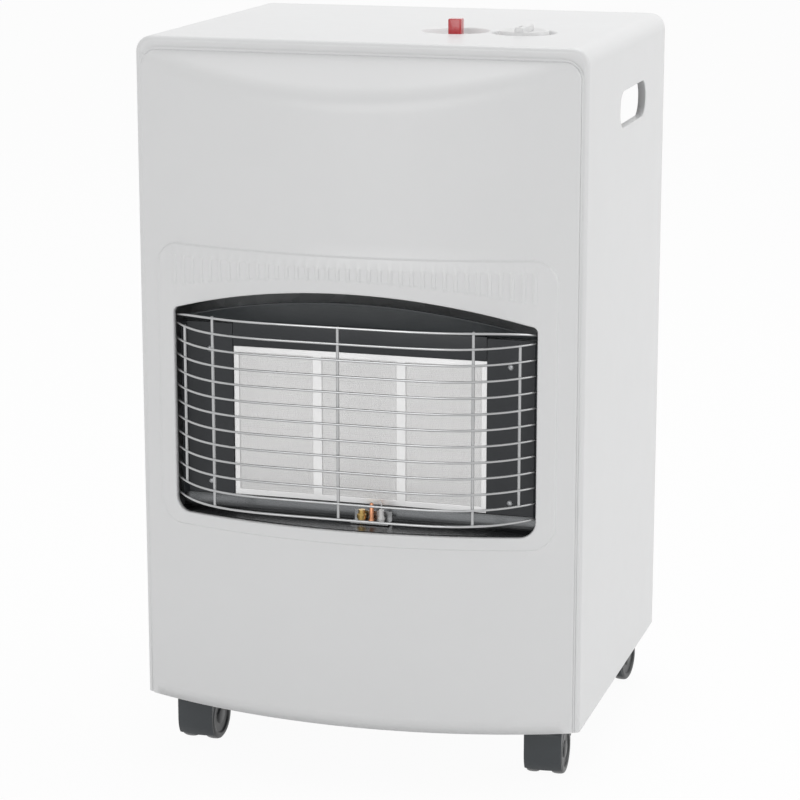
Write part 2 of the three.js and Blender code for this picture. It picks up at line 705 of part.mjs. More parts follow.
function plaqueFrame() {
  const front = plaqueFront - seat - sheet;
  const windows = plaqueXs.map((x) => box(
    x - plaqueWidth / 2 + plaqueCover, x + plaqueWidth / 2 - plaqueCover, front - 1, plaqueFront,
    plaqueMiddleZ - plaqueHeight / 2 + plaqueCover, plaqueMiddleZ + plaqueHeight / 2 - plaqueCover,
  ));
  const half = plaqueFrameHalf;
  return cut(box(-half, half, front, plaqueFront - seat, plaqueFrameLow, plaqueFrameHigh), windows);
}

const plaque = (x) => box(
  x - plaqueWidth / 2, x + plaqueWidth / 2, plaqueFront, plaqueBack,
  plaqueMiddleZ - plaqueHeight / 2, plaqueMiddleZ + plaqueHeight / 2,
);

function burnerHousing() {
  const wall = sheet;
  const wide = housingHalf + wall;
  const outer = box(-wide, wide, plaqueFront, housingBack + wall, housingLow - wall, housingHigh + wall);
  const hollow = box(-housingHalf, housingHalf, plaqueFront - 1, housingBack, housingLow, housingHigh);
  const dividers = [-0.5, 0.5].map((share) => box(
    plaquePitch * share - wall / 2, plaquePitch * share + wall / 2, plaqueFront, housingBack + 0.5,
    housingLow - 0.5, housingHigh + 0.5,
  ));
  const ledgeDepth = 6;
  const ledgeY = plaqueBack + seat;
  const ledges = [[housingLow - 0.5, housingLow + ledgeDepth], [housingHigh - ledgeDepth, housingHigh + 0.5]]
    .map(([low, high]) => box(-housingHalf - 0.5, housingHalf + 0.5, ledgeY, ledgeY + wall, low, high));
  const brackets = [-1, 1].map((side) => box(
    side * bracketX - 9, side * bracketX + 9, housingBack + wall / 2, shieldY - sheet - seat,
    plaqueMiddleZ - bracketHeight / 2, plaqueMiddleZ + bracketHeight / 2,
  ));
  const inlets = plaqueXs.map((x) =>
    rod(mixingTubeRadius + seat, housingLow - 3, housingLow + ledgeDepth + 1, x, mixingTubeY));
  return cut(join(cut(outer, hollow), dividers, ledges, brackets), inlets);
}

function mixingTube(x) {
  const flangeTop = housingLow - sheet - seat;
  const bore = mixingTubeRadius - sheet;
  return turned([
    [mixingMouthRadius - sheet, mixingMouthLow], [mixingMouthRadius, mixingMouthLow],
    [mixingTubeRadius, mixingMouthLow + 10],
    [mixingTubeRadius, flangeTop - 2], [mixingTubeRadius + 3, flangeTop - 2],
    [mixingTubeRadius + 3, flangeTop], [mixingTubeRadius, flangeTop],
    [mixingTubeRadius, housingLow + 12], [bore, housingLow + 12],
    [bore, mixingMouthLow + 10], [mixingMouthRadius - sheet, mixingMouthLow],
  ], x, mixingTubeY, 12);
}

function injector(x) {
  const low = manifoldZ + manifoldSize / 2 + seat;
  return turned([
    [0, low], [injectorHex, low], [injectorHex, low + 8], [injectorTip + 1, low + 10],
    [injectorTip, mixingMouthLow + 2], [0, mixingMouthLow + 2],
  ], x, mixingTubeY, 6);
}

function gasManifold() {
  const half = manifoldSize / 2;
  const back = mixingTubeY + half;
  const bar = box(manifoldLeft, manifoldRight, mixingTubeY - half, back, manifoldZ - half, manifoldZ + half);
  const footY = shieldY - sheet - seat;
  const brackets = manifoldBracketXs.flatMap((x) => [
    box(x - 8, x + 8, back - 0.5, footY, manifoldZ - 1.5, manifoldZ + 1.5),
    box(x - 8, x + 8, footY - 2, footY, manifoldZ - 12, manifoldZ + 12),
  ]);
  return join(bar, brackets);
}

// ---------------------------------------------------------------- pilot group

function pilotBracket() {
  const low = trayFloor + 1 + seat;
  const back = pilotY + 7;
  const base = box(pilotX - 9, electrodeX + 9, pilotY - 8, back, low, low + sheet);
  const bores = [[pilotX, 4], [thermocoupleX, 3], [electrodeX, 3]]
    .map(([x, radius]) => rod(radius + seat, low - 1, low + 3, x, pilotY, 16));
  const leg = box(pilotX - 9, electrodeX + 9, back - sheet, back, low, low + 10);
  return cut(join(base, leg), bores);
}

const pilotBurner = () => turned([
  [0, pilotLow], [4, pilotLow], [4, pilotCollar], [4.8, pilotCollar + 0.3], [4.8, pilotCollar + 3.5],
  [3.4, pilotCollar + 5], [3.4, pilotCollar + 8.5], [0, pilotCollar + 8.5],
], pilotX, pilotY, 16);

function thermocouple() {
  const tip = turned([
    [0, pilotLow], [3, pilotLow], [3, pilotCollar], [2.2, pilotCollar + 0.5], [2.2, pilotCollar + 13.5],
    [1.2, pilotCollar + 16], [0, pilotCollar + 16],
  ], thermocoupleX, pilotY, 12);
  const away = thermocoupleX + 14;
  const lead = tube([
    [thermocoupleX, pilotY, pilotLow + 0.5], [thermocoupleX, pilotY, thermocoupleZ],
    [away, pipeTurnY, thermocoupleZ], [away, pipeRunY, thermocoupleZ],
    [laneThermocouple, pipeRunY, thermocoupleZ], [laneThermocouple, laneY, thermocoupleZ],
    [laneThermocouple, laneY, portZ], [laneThermocouple, portY, portZ],
  ], leadRadius, 7, 6);
  return join(tip, lead);
}

function sparkElectrode() {
  const high = pilotCollar + 9.5;
  const porcelain = turned([
    [0, pilotLow + 1], [3, pilotLow + 1], [3, pilotCollar], [3.8, pilotCollar + 0.3],
    [3.8, pilotCollar + 1.5], [2.6, pilotCollar + 3.5], [2.6, high], [0, high],
  ], electrodeX, pilotY, 12);
  const wire = tube([
    [electrodeX, pilotY, high - 1], [electrodeX, pilotY, high + 7], [electrodeX - 4, pilotY + 3, high + 8.5],
  ], 0.8, 2, 6);
  return join(porcelain, wire);
}

const ignitionLead = () => {
  const away = electrodeX + 12;
  const piezoLow = bezelLow - seat - piezoHeight;
  return tube([
    [electrodeX, pilotY, pilotLow + 1 - seat], [electrodeX, pilotY, ignitionZ], [away, pipeTurnY, ignitionZ],
    [away, pipeRunY, ignitionZ], [buttonX, pipeRunY, ignitionZ], [buttonX, laneY, ignitionZ],
    [buttonX, laneY, leadHigh], [buttonX, controlY, leadHigh], [buttonX, controlY, piezoLow - seat],
  ], leadRadius, 3.8, 6);
};

const pilotPipe = () => tube([
  [pilotX, pilotY, pilotLow - seat], [pilotX, pilotY, pilotPipeZ], [pilotX + 16, pipeTurnY, pilotPipeZ],
  [pilotX + 16, pipeRunY, pilotPipeZ], [lanePilot, pipeRunY, pilotPipeZ], [lanePilot, laneY, pilotPipeZ],
  [lanePilot, laneY, portZ], [lanePilot, portY, portZ],
], pilotPipeRadius, 7, 6);

const supplyPipe = (lane) => tube([
  [lane, mixingTubeY + manifoldSize / 2 + seat, manifoldZ], [lane, laneY, manifoldZ],
  [lane, laneY, portZ], [lane, portY, portZ],
], pipeRadius, 10);

// ---------------------------------------------------------------- controls

function gasValve() {
  const body = box(
    knobX - valveHalfWidth, knobX + valveHalfWidth, controlY - valveHalfDepth, controlY + valveHalfDepth,
    valveTop - valveHeight, valveTop - 6,
  );
  const neck = rod(12, valveTop - 7, valveTop, knobX, controlY);
  const drum = rod(16, valveTop - valveHeight - 10, valveTop - valveHeight + 1, knobX, controlY);
  const bore = rod(spindleRadius + seat, spindleLow - spindleTravel - 0.5, valveTop + 1, knobX, controlY);
  return cut(join(body, neck, drum), bore);
}

const valveSpindle = () => rod(spindleRadius, spindleLow, knobLow + knobSocket, knobX, controlY);

function hoseInlet() {
  const start = controlY + valveHalfDepth + seat;
  const barb = (at) => [[5.5, at], [4, at + 6]];
  const profile = [
    [0, start], [8, start], [8, start + 7], [4, start + 7],
    ...barb(start + 9), ...barb(start + 15), ...barb(start + 21), [3.5, start + 28], [0, start + 28],
  ];
  const lathe = new THREE.LatheGeometry(profile.map(([r, a]) => new THREE.Vector2(r, a)), 12);
  return solid(lathe.translate(knobX, 0, portZ));
}

function controlKnob() {
  const top = knobLow + knobSkirt;
  const skirt = turned([
    [0, knobLow], [knobRadius, knobLow], [knobRadius, top - 2], [knobRadius - 2, top], [0, top],
  ], knobX, controlY, 32);
  const half = knobGripWidth / 2;
  const grip = prism("y", rounded([
    [knobX - half, top - 1, 0], [knobX + half, top - 1, 0],
    [knobX + half - 1.5, knobLow + knobGrip, 3], [knobX - half + 1.5, knobLow + knobGrip, 3],
  ], 3), controlY - knobRadius + 1.5, controlY + knobRadius - 1.5);
  const round = rod(knobRadius - 0.5, knobLow, knobLow + knobGrip + 1, knobX, controlY, 32);
  const bore = rod(spindleRadius + seat, knobLow - 1, knobLow + knobSocket + seat, knobX, controlY);
  return cut(join(skirt, grip.intersect(round)), bore);
}

const squareAt = (half) =>
  roundedBox(buttonX - half, buttonX + half, controlY - half, controlY + half, 1.2, 3);

function buttonBezel() {
  const hole = buttonSize / 2 + seat;
  const square = (half, low, high) => prism("z", squareAt(half), low, high);
  return cut(
    join(
      square(bezelSize / 2, dishFloor + seat, dishFloor + seat + bezelWall),
      square(hole + bezelSleeve, bezelLow, dishFloor + 1),
    ),
    square(hole, bezelLow - 1, dishFloor + bezelWall + 2),
  );
}

function igniterButton() {
  const half = buttonSize / 2;
  const low = bezelLow + buttonTravel + 1;
  const ring = (inset, z) => squareAt(half - inset).map(([x, y]) => new THREE.Vector3(x, y, z));
  return loft([ring(0, low), ring(0, buttonHigh - 1.4), ring(0.5, buttonHigh - 0.4), ring(1.1, buttonHigh)]);
}

function piezoIgniter() {
  const high = bezelLow - seat;
  const body = rod(piezoRadius, high - piezoHeight, high, buttonX, controlY);
  const clamp = box(buttonX - 11, buttonX + 11, controlY - 11, controlY + 11, high - 6, high - 2);
  return join(body, clamp);
}

// ---------------------------------------------------------------- castors, in their own frame:
// the stem stands at x = y = 0 and the axle lies behind it

function casterStem() {
  const flangeTop = cabinetBottom - seat;
  const flangeLow = hoodTop + seat;
  const stemTop = cabinetBottom + socketHeight - 1;
  return turned([
    [0, stemLow], [stemRadius, stemLow], [stemRadius, flangeLow], [11, flangeLow],
    [11, flangeTop], [stemRadius, flangeTop], [stemRadius, stemTop], [0, stemTop],
  ], 0, 0, 12);
}

function casterHood() {
  const outer = wheelRadius + wheelClear + hoodWall;
  const onArc = (degrees, radius) => {
    const angle = THREE.MathUtils.degToRad(degrees);
    return [casterTrail - radius * Math.cos(angle), axleZ + radius * Math.sin(angle)];
  };
  const frontArc = [-34, -24, -12, 0].map((a) => onArc(a, outer));
  const backArc = [125, 140, 155, 168].map((a) => onArc(a, outer));
  const front = casterTrail - outer;
  const outline = [
    ...frontArc, [front, hoodTop - 9], [front + 2.5, hoodTop - 3], [front + 8, hoodTop], [12, hoodTop],
    ...backArc, onArc(168, 9), onArc(215, 9), onArc(270, 9), onArc(320, 9), onArc(-34, outer - 6),
  ];
  const body = prism("x", outline, -casterHalf, casterHalf);
  const pocket = wheelRadius + wheelClear;
  const pockets = [
    lyingRod("x", pocket, webHalf, casterHalf + 1, casterTrail, axleZ, 24),
    lyingRod("x", pocket, -casterHalf - 1, -webHalf, casterTrail, axleZ, 24),
  ];
  const bores = [
    rod(stemRadius + seat, stemLow - seat, hoodTop + 1, 0, 0, 16),
    lyingRod("x", axleRadius + 0.2, -casterHalf, casterHalf, casterTrail, axleZ, 16),
  ];
  return cut(body, pockets, bores);
}

const casterAxle = () => lyingRod("x", axleRadius, -casterHalf + 1, casterHalf - 1, casterTrail, axleZ, 16);

function casterWheel(side) {
  const near = webHalf + seat;
  const far = near + wheelWidth;
  const bore = axleRadius + 0.25;
  const profile = [
    [bore, near], [wheelRadius - 2, near], [wheelRadius - 0.3, near + 2],
    [wheelRadius, (near + far) / 2], [wheelRadius - 0.3, far - 2], [wheelRadius - 2, far],
    [wheelRadius - 6, far], [wheelRadius - 7.5, far - 1.5], [bore, far - 1.5], [bore, near],
  ];
  const lathe = new THREE.LatheGeometry(profile.map(([r, a]) => new THREE.Vector2(r, a)), 16);
  return solid(lathe.rotateZ(-side * (Math.PI / 2)).translate(0, casterTrail, axleZ));
}

// ---------------------------------------------------------------- assembly

const finish = (color, roughness, metalness = 0) =>
  new THREE.MeshStandardMaterial({ color, roughness, metalness });
const whitePaint = finish(0xdedede, 0.35);
const darkEnamel = finish(0x2b2e31, 0.5);
const chrome = finish(0xd8dadc, 0.15, 1);
const polishedSteel = finish(0xb9bcc0, 0.25, 1);
const galvanised = finish(0x9a9fa3, 0.5, 0.8);
const ceramic = finish(0xf0efea, 0.9);
const brass = finish(0xc2a35a, 0.35, 1);
const copper = finish(0xb87748, 0.35, 1);
const castAlloy = finish(0xa9abad, 0.45, 0.9);
const whitePlastic = finish(0xf2f2f0, 0.4);
const redPlastic = finish(0xb9101c, 0.3);
const blackPlastic = finish(0x2c3033, 0.5);
const rubberTread = finish(0x1c1e20, 0.8);

const heater = new THREE.Group();
heater.position.y = -(guardFront + coverBack) / 2;

function add(name, body, material, parent = heater) {
  const mesh = new THREE.Mesh(geometryOf(body), material);
  mesh.name = name;
  parent.add(mesh);
}

add("cabinet_wrap", cabinetWrap(), whitePaint);
add("front_panel", frontPanel(), whitePaint);
add("base_plate", basePlate(), galvanised);
add("heat_shield", heatShield(), galvanised);
add("rear_cover", rearCover(), whitePaint);
add("wire_guard", guard(), chrome);
add("side_reflector_left", sideReflector(-1), darkEnamel);
add("side_reflector_right", sideReflector(1), darkEnamel);
add("top_deflector", topDeflector(), darkEnamel);
add("bottom_reflector", bottomReflector(), polishedSteel);
add("plaque_frame", plaqueFrame(), polishedSteel);
add("burner_housing", burnerHousing(), galvanised);
add("gas_manifold", gasManifold(), castAlloy);
plaqueXs.forEach((x, i) => {
  add(`ceramic_plaque_${plaqueNames[i]}`, plaque(x), ceramic);
  add(`mixing_tube_${plaqueNames[i]}`, mixingTube(x), galvanised);
  add(`injector_${plaqueNames[i]}`, injector(x), brass);
});
add("pilot_bracket", pilotBracket(), polishedSteel);
add("pilot_burner", pilotBurner(), brass);
add("thermocouple", thermocouple(), copper);
add("spark_electrode", sparkElectrode(), ceramic);
add("ignition_lead", ignitionLead(), whitePlastic);
add("pilot_pipe", pilotPipe(), copper);
add("supply_pipe_low", supplyPipe(laneLow), copper);
add("supply_pipe_high", supplyPipe(laneHigh), copper);
add("gas_valve", gasValve(), castAlloy);
add("valve_spindle", valveSpindle(), brass);
add("hose_inlet", hoseInlet(), brass);
add("control_knob", controlKnob(), whitePlastic);
add("button_bezel", buttonBezel(), whitePlastic);
add("igniter_button", igniterButton(), redPlastic);
add("piezo_igniter", piezoIgniter(), blackPlastic);

for (const { name, side, end, turn } of casters) {
  const caster = new THREE.Group();
  caster.position.set(side * casterX, end * casterY, 0);
  caster.rotation.z = THREE.MathUtils.degToRad(turn);
  heater.add(caster);
  add(`caster_stem_${name}`, casterStem(), polishedSteel, caster);
  add(`caster_hood_${name}`, casterHood(), blackPlastic, caster);
  add(`caster_axle_${name}`, casterAxle(), polishedSteel, caster);
  add(`caster_wheel_${name}_l`, casterWheel(-1), rubberTread, caster);
  add(`caster_wheel_${name}_r`, casterWheel(1), rubberTread, caster);
}

export default heater;
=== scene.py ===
"""Looks of the portable gas cabinet heater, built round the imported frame. Metres, +Z up, front at -Y."""

import json
import math

import bmesh
import bpy
from mathutils import Matrix, Vector


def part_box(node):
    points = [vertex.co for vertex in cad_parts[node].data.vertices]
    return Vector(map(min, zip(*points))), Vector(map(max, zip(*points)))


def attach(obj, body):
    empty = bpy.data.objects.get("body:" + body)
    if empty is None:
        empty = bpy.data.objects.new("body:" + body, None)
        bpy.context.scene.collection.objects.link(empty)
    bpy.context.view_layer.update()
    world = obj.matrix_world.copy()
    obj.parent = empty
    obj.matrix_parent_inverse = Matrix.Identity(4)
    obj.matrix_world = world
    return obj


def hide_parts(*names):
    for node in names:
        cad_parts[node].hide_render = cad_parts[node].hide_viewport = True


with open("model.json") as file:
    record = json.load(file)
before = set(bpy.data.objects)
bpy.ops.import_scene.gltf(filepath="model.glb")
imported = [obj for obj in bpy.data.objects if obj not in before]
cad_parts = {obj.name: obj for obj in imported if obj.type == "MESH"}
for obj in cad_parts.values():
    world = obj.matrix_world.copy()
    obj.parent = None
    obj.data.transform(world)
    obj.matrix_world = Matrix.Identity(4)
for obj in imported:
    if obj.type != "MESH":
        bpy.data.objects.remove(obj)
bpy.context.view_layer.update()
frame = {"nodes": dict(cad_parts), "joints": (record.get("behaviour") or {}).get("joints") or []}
scene = bpy.context.scene

# ---------------------------------------------------------------- sizes, from the frame where it has them

WRAP_LOW, WRAP_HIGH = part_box("cabinet_wrap")
PANEL_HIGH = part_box("front_panel")[1]
COVER_LOW, COVER_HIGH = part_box("rear_cover")
HALF = WRAP_HIGH.x
FRONT, BACK = WRAP_LOW.y, WRAP_HIGH.y
BOTTOM, TOP = WRAP_LOW.z, WRAP_HIGH.z
MIDDLE = (FRONT + BACK) / 2  # middle of the cabinet's depth
SHEET = 0.0012

BOW = 0.046
BOW_RADIUS = (HALF ** 2 + BOW ** 2) / (2 * BOW)
BOW_CENTRE = FRONT - BOW + BOW_RADIUS
PANEL_HALF = PANEL_HIGH.x
PANEL_TOP = PANEL_HIGH.z
PANEL_RETURN = 0.014
PANEL_CORNER = 0.0175
EDGE_INSET = 0.0010  # width of the rolled edge, seen from the front
CRESCENT_SLOPE = 0.78
CRESCENT_ROUND = 0.015
CRESCENT_FROM = 0.636  # the panel is a plain bowed wall up to here

EMBOSS = 0.002
FRAME_SHOULDER = 0.0026
WINDOW_HALF, WINDOW_LOW, WINDOW_SHOULDER, WINDOW_APEX = 0.183, 0.262, 0.467, 0.496
FRAME_HALF, FRAME_LOW, FRAME_HIGH = WINDOW_HALF + 0.019, WINDOW_LOW - 0.014, WINDOW_APEX + 0.037
FRAME_CORNER = 0.025
WINDOW_CORNER = 0.016
WINDOW_LIP = 0.003
RIB_COUNT = 36
RIB_ROW = 0.180
RIB_WIDTH = 0.0046
RIB_HEIGHT = 0.0012
RIB_TOP = WINDOW_APEX + 0.026
RIB_FOOT_MIDDLE, RIB_FOOT_END = WINDOW_APEX + 0.012, WINDOW_SHOULDER + 0.022

WRAP_CORNER = 0.016
WRAP_ROUND = 0.005
RIM_TOP, RIM_SIDE, RIM_CORNER = 0.012, 0.006, 0.018
BACK_FLANGE, BACK_CORNER = 0.014, 0.008
HOLD_LENGTH, HOLD_HEIGHT = 0.125, 0.036
HOLD_Y, HOLD_Z = MIDDLE + 0.025, TOP - 0.076
HOLD_LIP = 0.008
HOLD_ROUND = 0.001

BUTTON_LOW, BUTTON_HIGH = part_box("igniter_button")
KNOB_LOW, KNOB_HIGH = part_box("control_knob")
CONTROL_Y = (BUTTON_LOW.y + BUTTON_HIGH.y) / 2
BUTTON_X = (BUTTON_LOW.x + BUTTON_HIGH.x) / 2
KNOB_X = (KNOB_LOW.x + KNOB_HIGH.x) / 2
DISH_DEPTH = 0.007
DISH_EDGE, DISH_DRAFT = 0.0009, 0.0068
PATCH_X, PATCH_Y = 0.076, 0.043  # half size of the area of the top that is filled round the dishes
DISHES = ((BUTTON_X, 0.034), (KNOB_X, 0.0325))


def bow_y(x, out=0.0):
    """Front face of the bowed panel at x, moved outwards by out."""
    return BOW_CENTRE - math.sqrt((BOW_RADIUS + out) ** 2 - x ** 2)


ARCH_RISE = WINDOW_APEX - WINDOW_SHOULDER
ARCH_RADIUS = (WINDOW_HALF ** 2 + ARCH_RISE ** 2) / (2 * ARCH_RISE)


def arch_z(x, grow=0.0):
    """Top of the window at x, moved outwards by grow."""
    return WINDOW_APEX - ARCH_RADIUS + math.sqrt((ARCH_RADIUS + grow) ** 2 - x ** 2)


# ---------------------------------------------------------------- materials

class Field:
    """A socket of a finish; arithmetic on it adds its Math nodes."""

    def __init__(self, finish, socket):
        self.finish, self.socket = finish, socket

    def maths(self, operation, *values):
        return self.finish.node("ShaderNodeMath", {"operation": operation}, dict(enumerate(values)))

    def __add__(self, other):
        return self.maths("ADD", self, other)

    def __sub__(self, other):
        return self.maths("SUBTRACT", self, other)

    def __rsub__(self, other):
        return self.maths("SUBTRACT", other, self)

    def __mul__(self, other):
        return self.maths("MULTIPLY", self, other)

    def __truediv__(self, other):
        return self.maths("DIVIDE", self, other)

    def __pow__(self, other):
        return self.maths("POWER", self, other)

    __radd__ = __add__
    __rmul__ = __mul__


class Finish:
    """A procedural material: its node tree, and one method that adds any node to it."""

    def __init__(self, name, slot, **values):
        self.slot = slot
        self.material = bpy.data.materials.new(name)
        self.material.use_nodes = True
        self.tree = self.material.node_tree
        self.surface = self.tree.nodes["Principled BSDF"]
        self.place = self.node("ShaderNodeTexCoord", out="Object")
        self.set(**values)

    def node(self, kind, settings=None, sockets=None, out=0):
        made = self.tree.nodes.new(kind)
        for key, value in (settings or {}).items():
            if key == "stops":
                stops = made.color_ramp.elements
                while len(stops) < len(value):
                    stops.new(0.5)
                for stop, (position, level) in zip(stops, value):
                    stop.position, stop.color = position, (level, level, level, 1)
            else:
                setattr(made, key, value)
        for key, value in (sockets or {}).items():
            self.feed(made.inputs[key], value)
        return Field(self, made.outputs[out])

    def feed(self, socket, value):
        if isinstance(value, Field):
            self.tree.links.new(value.socket, socket)
        else:
            socket.default_value = value

    def set(self, **values):
        """Feeds sockets of the surface, named as on the node with _ for a space."""
        for key, value in values.items():
            self.feed(self.surface.inputs[key.replace("_", " ")], value)
        return self

    def noise(self, scale, detail=2.0, stretch=(1, 1, 1)):
        at = self.node("ShaderNodeMapping", None, {"Vector": self.place, "Scale": stretch})
        return self.node("ShaderNodeTexNoise", None, {"Vector": at, "Scale": scale, "Detail": detail})

    def mix(self, amount, first, second):
        """From one colour to another, as amount goes from 0 to 1."""
        return self.node("ShaderNodeMix", {"data_type": "RGBA"}, {0: amount, 6: first, 7: second}, out=2)

    def ramp(self, amount, *stops):
        return self.node("ShaderNodeValToRGB", {"stops": stops}, {0: amount})

    def bump(self, height, depth, strength=1.0, over=None):
        sockets = {"Height": height, "Distance": depth, "Strength": strength}
        if over:
            sockets["Normal"] = over
        return self.node("ShaderNodeBump", None, sockets)


def grey(level, warm=0.0):
    """A linear grey; warm above 0 leans it to red, below 0 to blue."""
    return (level * (1 + warm), level, level * (1 - warm), 1)


def powder_coat(name, slot, tone):
    """White powder coat: fine orange peel, faint mottling in colour and gloss."""
    made = Finish(name, slot, IOR=1.5)
    mottle = made.noise(14, 3)
    peel = made.noise(620, 1)
    return made.set(
        Base_Color=made.mix(mottle, tone, [c * 0.975 for c in tone[:3]] + [1]),
        Roughness=made.noise(55, 2) * 0.08 + 0.30,
        Normal=made.bump(peel, 0.00006, 0.55),
    )


def heat_enamel(name, slot, tone, gloss):
    """Dark heat-proof enamel on pressed sheet, with faint drawing marks."""
    made = Finish(name, slot)
    marks = made.noise(90, 3, (1, 1, 6))
    return made.set(
        Base_Color=made.mix(made.noise(30, 4), tone, [c * 0.7 for c in tone[:3]] + [1]),
        Roughness=marks * 0.16 + gloss,
        Normal=made.bump(marks, 0.00015, 0.35),
    )


def bare_metal(name, slot, tone, rough, grain=(1, 30, 30), depth=0.00004):
    """Rolled or drawn metal, its grain along the axis with the small stretch."""
    made = Finish(name, slot, Metallic=1.0)
    lines = made.noise(55, 4, grain)
    return made.set(
        Base_Color=made.mix(made.noise(25, 3), tone, [c * 0.86 for c in tone[:3]] + [1]),
        Roughness=lines * 0.14 + rough,
        Normal=made.bump(lines, depth, 0.5),
    )


def zinc_coat(name, slot):
    """Galvanised sheet with its spangle."""
    made = Finish(name, slot, Metallic=0.85)
    grain = {"Vector": made.place, "Scale": 85.0, "Randomness": 1.0}
    cells = made.node("ShaderNodeTexVoronoi", None, grain, "Color")
    spangle = made.node("ShaderNodeSeparateColor", None, {0: cells})
    shade = spangle * 0.5 + made.noise(18, 3) * 0.5
    return made.set(
        Base_Color=made.mix(shade, grey(0.50, -0.02), grey(0.34, -0.03)),
        Roughness=shade * 0.22 + 0.34,
        Normal=made.bump(shade, 0.00008, 0.3),
    )


def moulded(name, slot, tone, rough, texture=0.00003, **values):
    """Moulded plastic with a fine spark-eroded texture."""
    made = Finish(name, slot, **values)
    fine = made.noise(900, 1)
    return made.set(
        Base_Color=made.mix(made.noise(40, 3), tone, [c * 0.9 for c in tone[:3]] + [1]),
        Roughness=made.noise(120, 2) * 0.12 + rough,
        Normal=made.bump(fine, texture, 0.6),
    )


def plaque_ceramic(name, slot):
    """White fired ceramic, with rows of pinholes inside a grid of shallow squares; the pinholes and the
    grooves round the squares are painted darker, which is painted shade.
    """
    made = Finish(name, slot, Roughness=0.85)
    x = made.node("ShaderNodeSeparateXYZ", None, {0: made.place})
    z = Field(made, x.socket.node.outputs["Z"])
    pitch = 0.0021
    row = z / (pitch * 0.866)
    shift = row.maths("FLOOR", row).maths("MODULO", row.maths("FLOOR", row), 2.0) * 0.5
    u = (x / pitch + shift).maths("FRACT", x / pitch + shift) - 0.5
    v = row.maths("FRACT", row) - 0.5
    from_hole = (u * u + v * v) ** 0.5
    hole = made.ramp(from_hole, (0.20, 1.0), (0.34, 0.0))
    tile = 0.0105
    across = (x / tile).maths("FRACT", x / tile) - 0.5
    upward = (z / tile).maths("FRACT", z / tile) - 0.5
    border = across.maths("MAXIMUM", across.maths("ABSOLUTE", across), upward.maths("ABSOLUTE", upward))
    groove = made.ramp(border, (0.44, 0.0), (0.49, 1.0))
    cloud = made.noise(26, 4)
    # painted shade: the pinholes and the grooves are darkened in colour; the cloud is a faint random tone
    shade = hole * 0.24 + groove * 0.10 + cloud * 0.06
    dips = made.bump(hole + groove * 0.4, -0.0003, 0.5)
    return made.set(Base_Color=made.mix(shade, grey(0.96, 0.003), grey(0.62, 0.01)), Normal=dips)


WHITE_PAINT = powder_coat("white_powder_coat", "white_paint", grey(0.76, -0.004))
DARK_ENAMEL = heat_enamel("dark_heat_enamel", "dark_enamel", (0.017, 0.020, 0.024, 1), 0.34)
DEFLECTOR_ENAMEL = heat_enamel("deflector_enamel", "dark_enamel", (0.050, 0.056, 0.060, 1), 0.32)
GUARD_CHROME = bare_metal("guard_wire_chrome", "guard_chrome", grey(0.50, -0.01), 0.24, (40, 1, 1), 0.00002)
POLISHED = bare_metal("polished_reflector_steel", "polished_steel", grey(0.34, -0.01), 0.20)
FRAME_STEEL = bare_metal("bright_plaque_frame", "polished_steel", grey(0.86), 0.30)
ZINC = zinc_coat("galvanised_spangle", "galvanised")
# painted shade: the reflector tray's steel is far darker than the polished steel, standing in for the shaded
# inside of the heater that it reflects
REFLECTOR_STEEL_PAINTED_DARK = bare_metal("reflector_steel_painted_dark", "polished_steel", grey(0.085, -0.03), 0.20)
BLACKED_STEEL = bare_metal("blacked_axle_steel", "polished_steel", grey(0.05), 0.35)
BRASS = bare_metal("machined_brass", "brass", (0.62, 0.42, 0.15, 1), 0.22, (1, 1, 40))
COPPER = bare_metal("drawn_copper", "copper", (0.64, 0.30, 0.17, 1), 0.24, (40, 40, 1))
CAST = bare_metal("die_cast_alloy", "cast_alloy", grey(0.48), 0.42, (3, 3, 3), 0.00025)
CERAMIC = plaque_ceramic("plaque_ceramic", "ceramic")
PORCELAIN = moulded("electrode_porcelain", "ceramic", grey(0.78, 0.01), 0.12, 0.00001, Coat_Weight=0.5)
WHITE_PLASTIC = moulded("white_plastic", "white_plastic", grey(0.80, 0.0), 0.26)
RED_PLASTIC = moulded(
    "red_button_plastic", "red_plastic", (0.50, 0.006, 0.014, 1), 0.16, 0.00001, Coat_Weight=0.6,
)
BLACK_PLASTIC = moulded("castor_hood_plastic", "black_plastic", (0.040, 0.046, 0.051, 1), 0.36)
WHEEL_PLASTIC = moulded("castor_wheel_plastic", "wheel_plastic", (0.016, 0.018, 0.020, 1), 0.30)
LEAD_SLEEVE = moulded("lead_sleeve", "white_plastic", grey(0.55, 0.05), 0.45)

# ---------------------------------------------------------------- mesh helpers

TINY = 1e-6
CUT_TOLERANCE = 1e-7
SHARP = math.radians(36)


def finished(
    name, bm, finish, body="cabinet", stands_for=(), sheet=0.0, round_off=0.0, weighted=False, sharp=SHARP,
):
    """Makes a piece from a bmesh and puts it on its body."""
    bmesh.ops.remove_doubles(bm, verts=bm.verts, dist=TINY)
    bm.normal_update()
    for edge in bm.edges:
        if len(edge.link_faces) == 2 and edge.calc_face_angle() > sharp:
            edge.smooth = False
    for face in bm.faces:
        face.smooth = True
    mesh = bpy.data.meshes.new(name)
    bm.to_mesh(mesh)
    bm.free()
    piece = bpy.data.objects.new(name, mesh)
    scene.collection.objects.link(piece)
    mesh.materials.append(finish.material)
    if sheet:
        wall = piece.modifiers.new("sheet", "SOLIDIFY")
        wall.thickness, wall.offset = sheet, -1
    if round_off:
        edges = piece.modifiers.new("edges", "BEVEL")
        edges.width, edges.segments, edges.limit_method, edges.angle_limit = round_off, 2, "ANGLE", SHARP
        edges.harden_normals = True
    if weighted:
        piece.modifiers.new("normals", "WEIGHTED_NORMAL").keep_sharp = True
    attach(piece, body)
    if stands_for:
        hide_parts(*stands_for)
    return piece


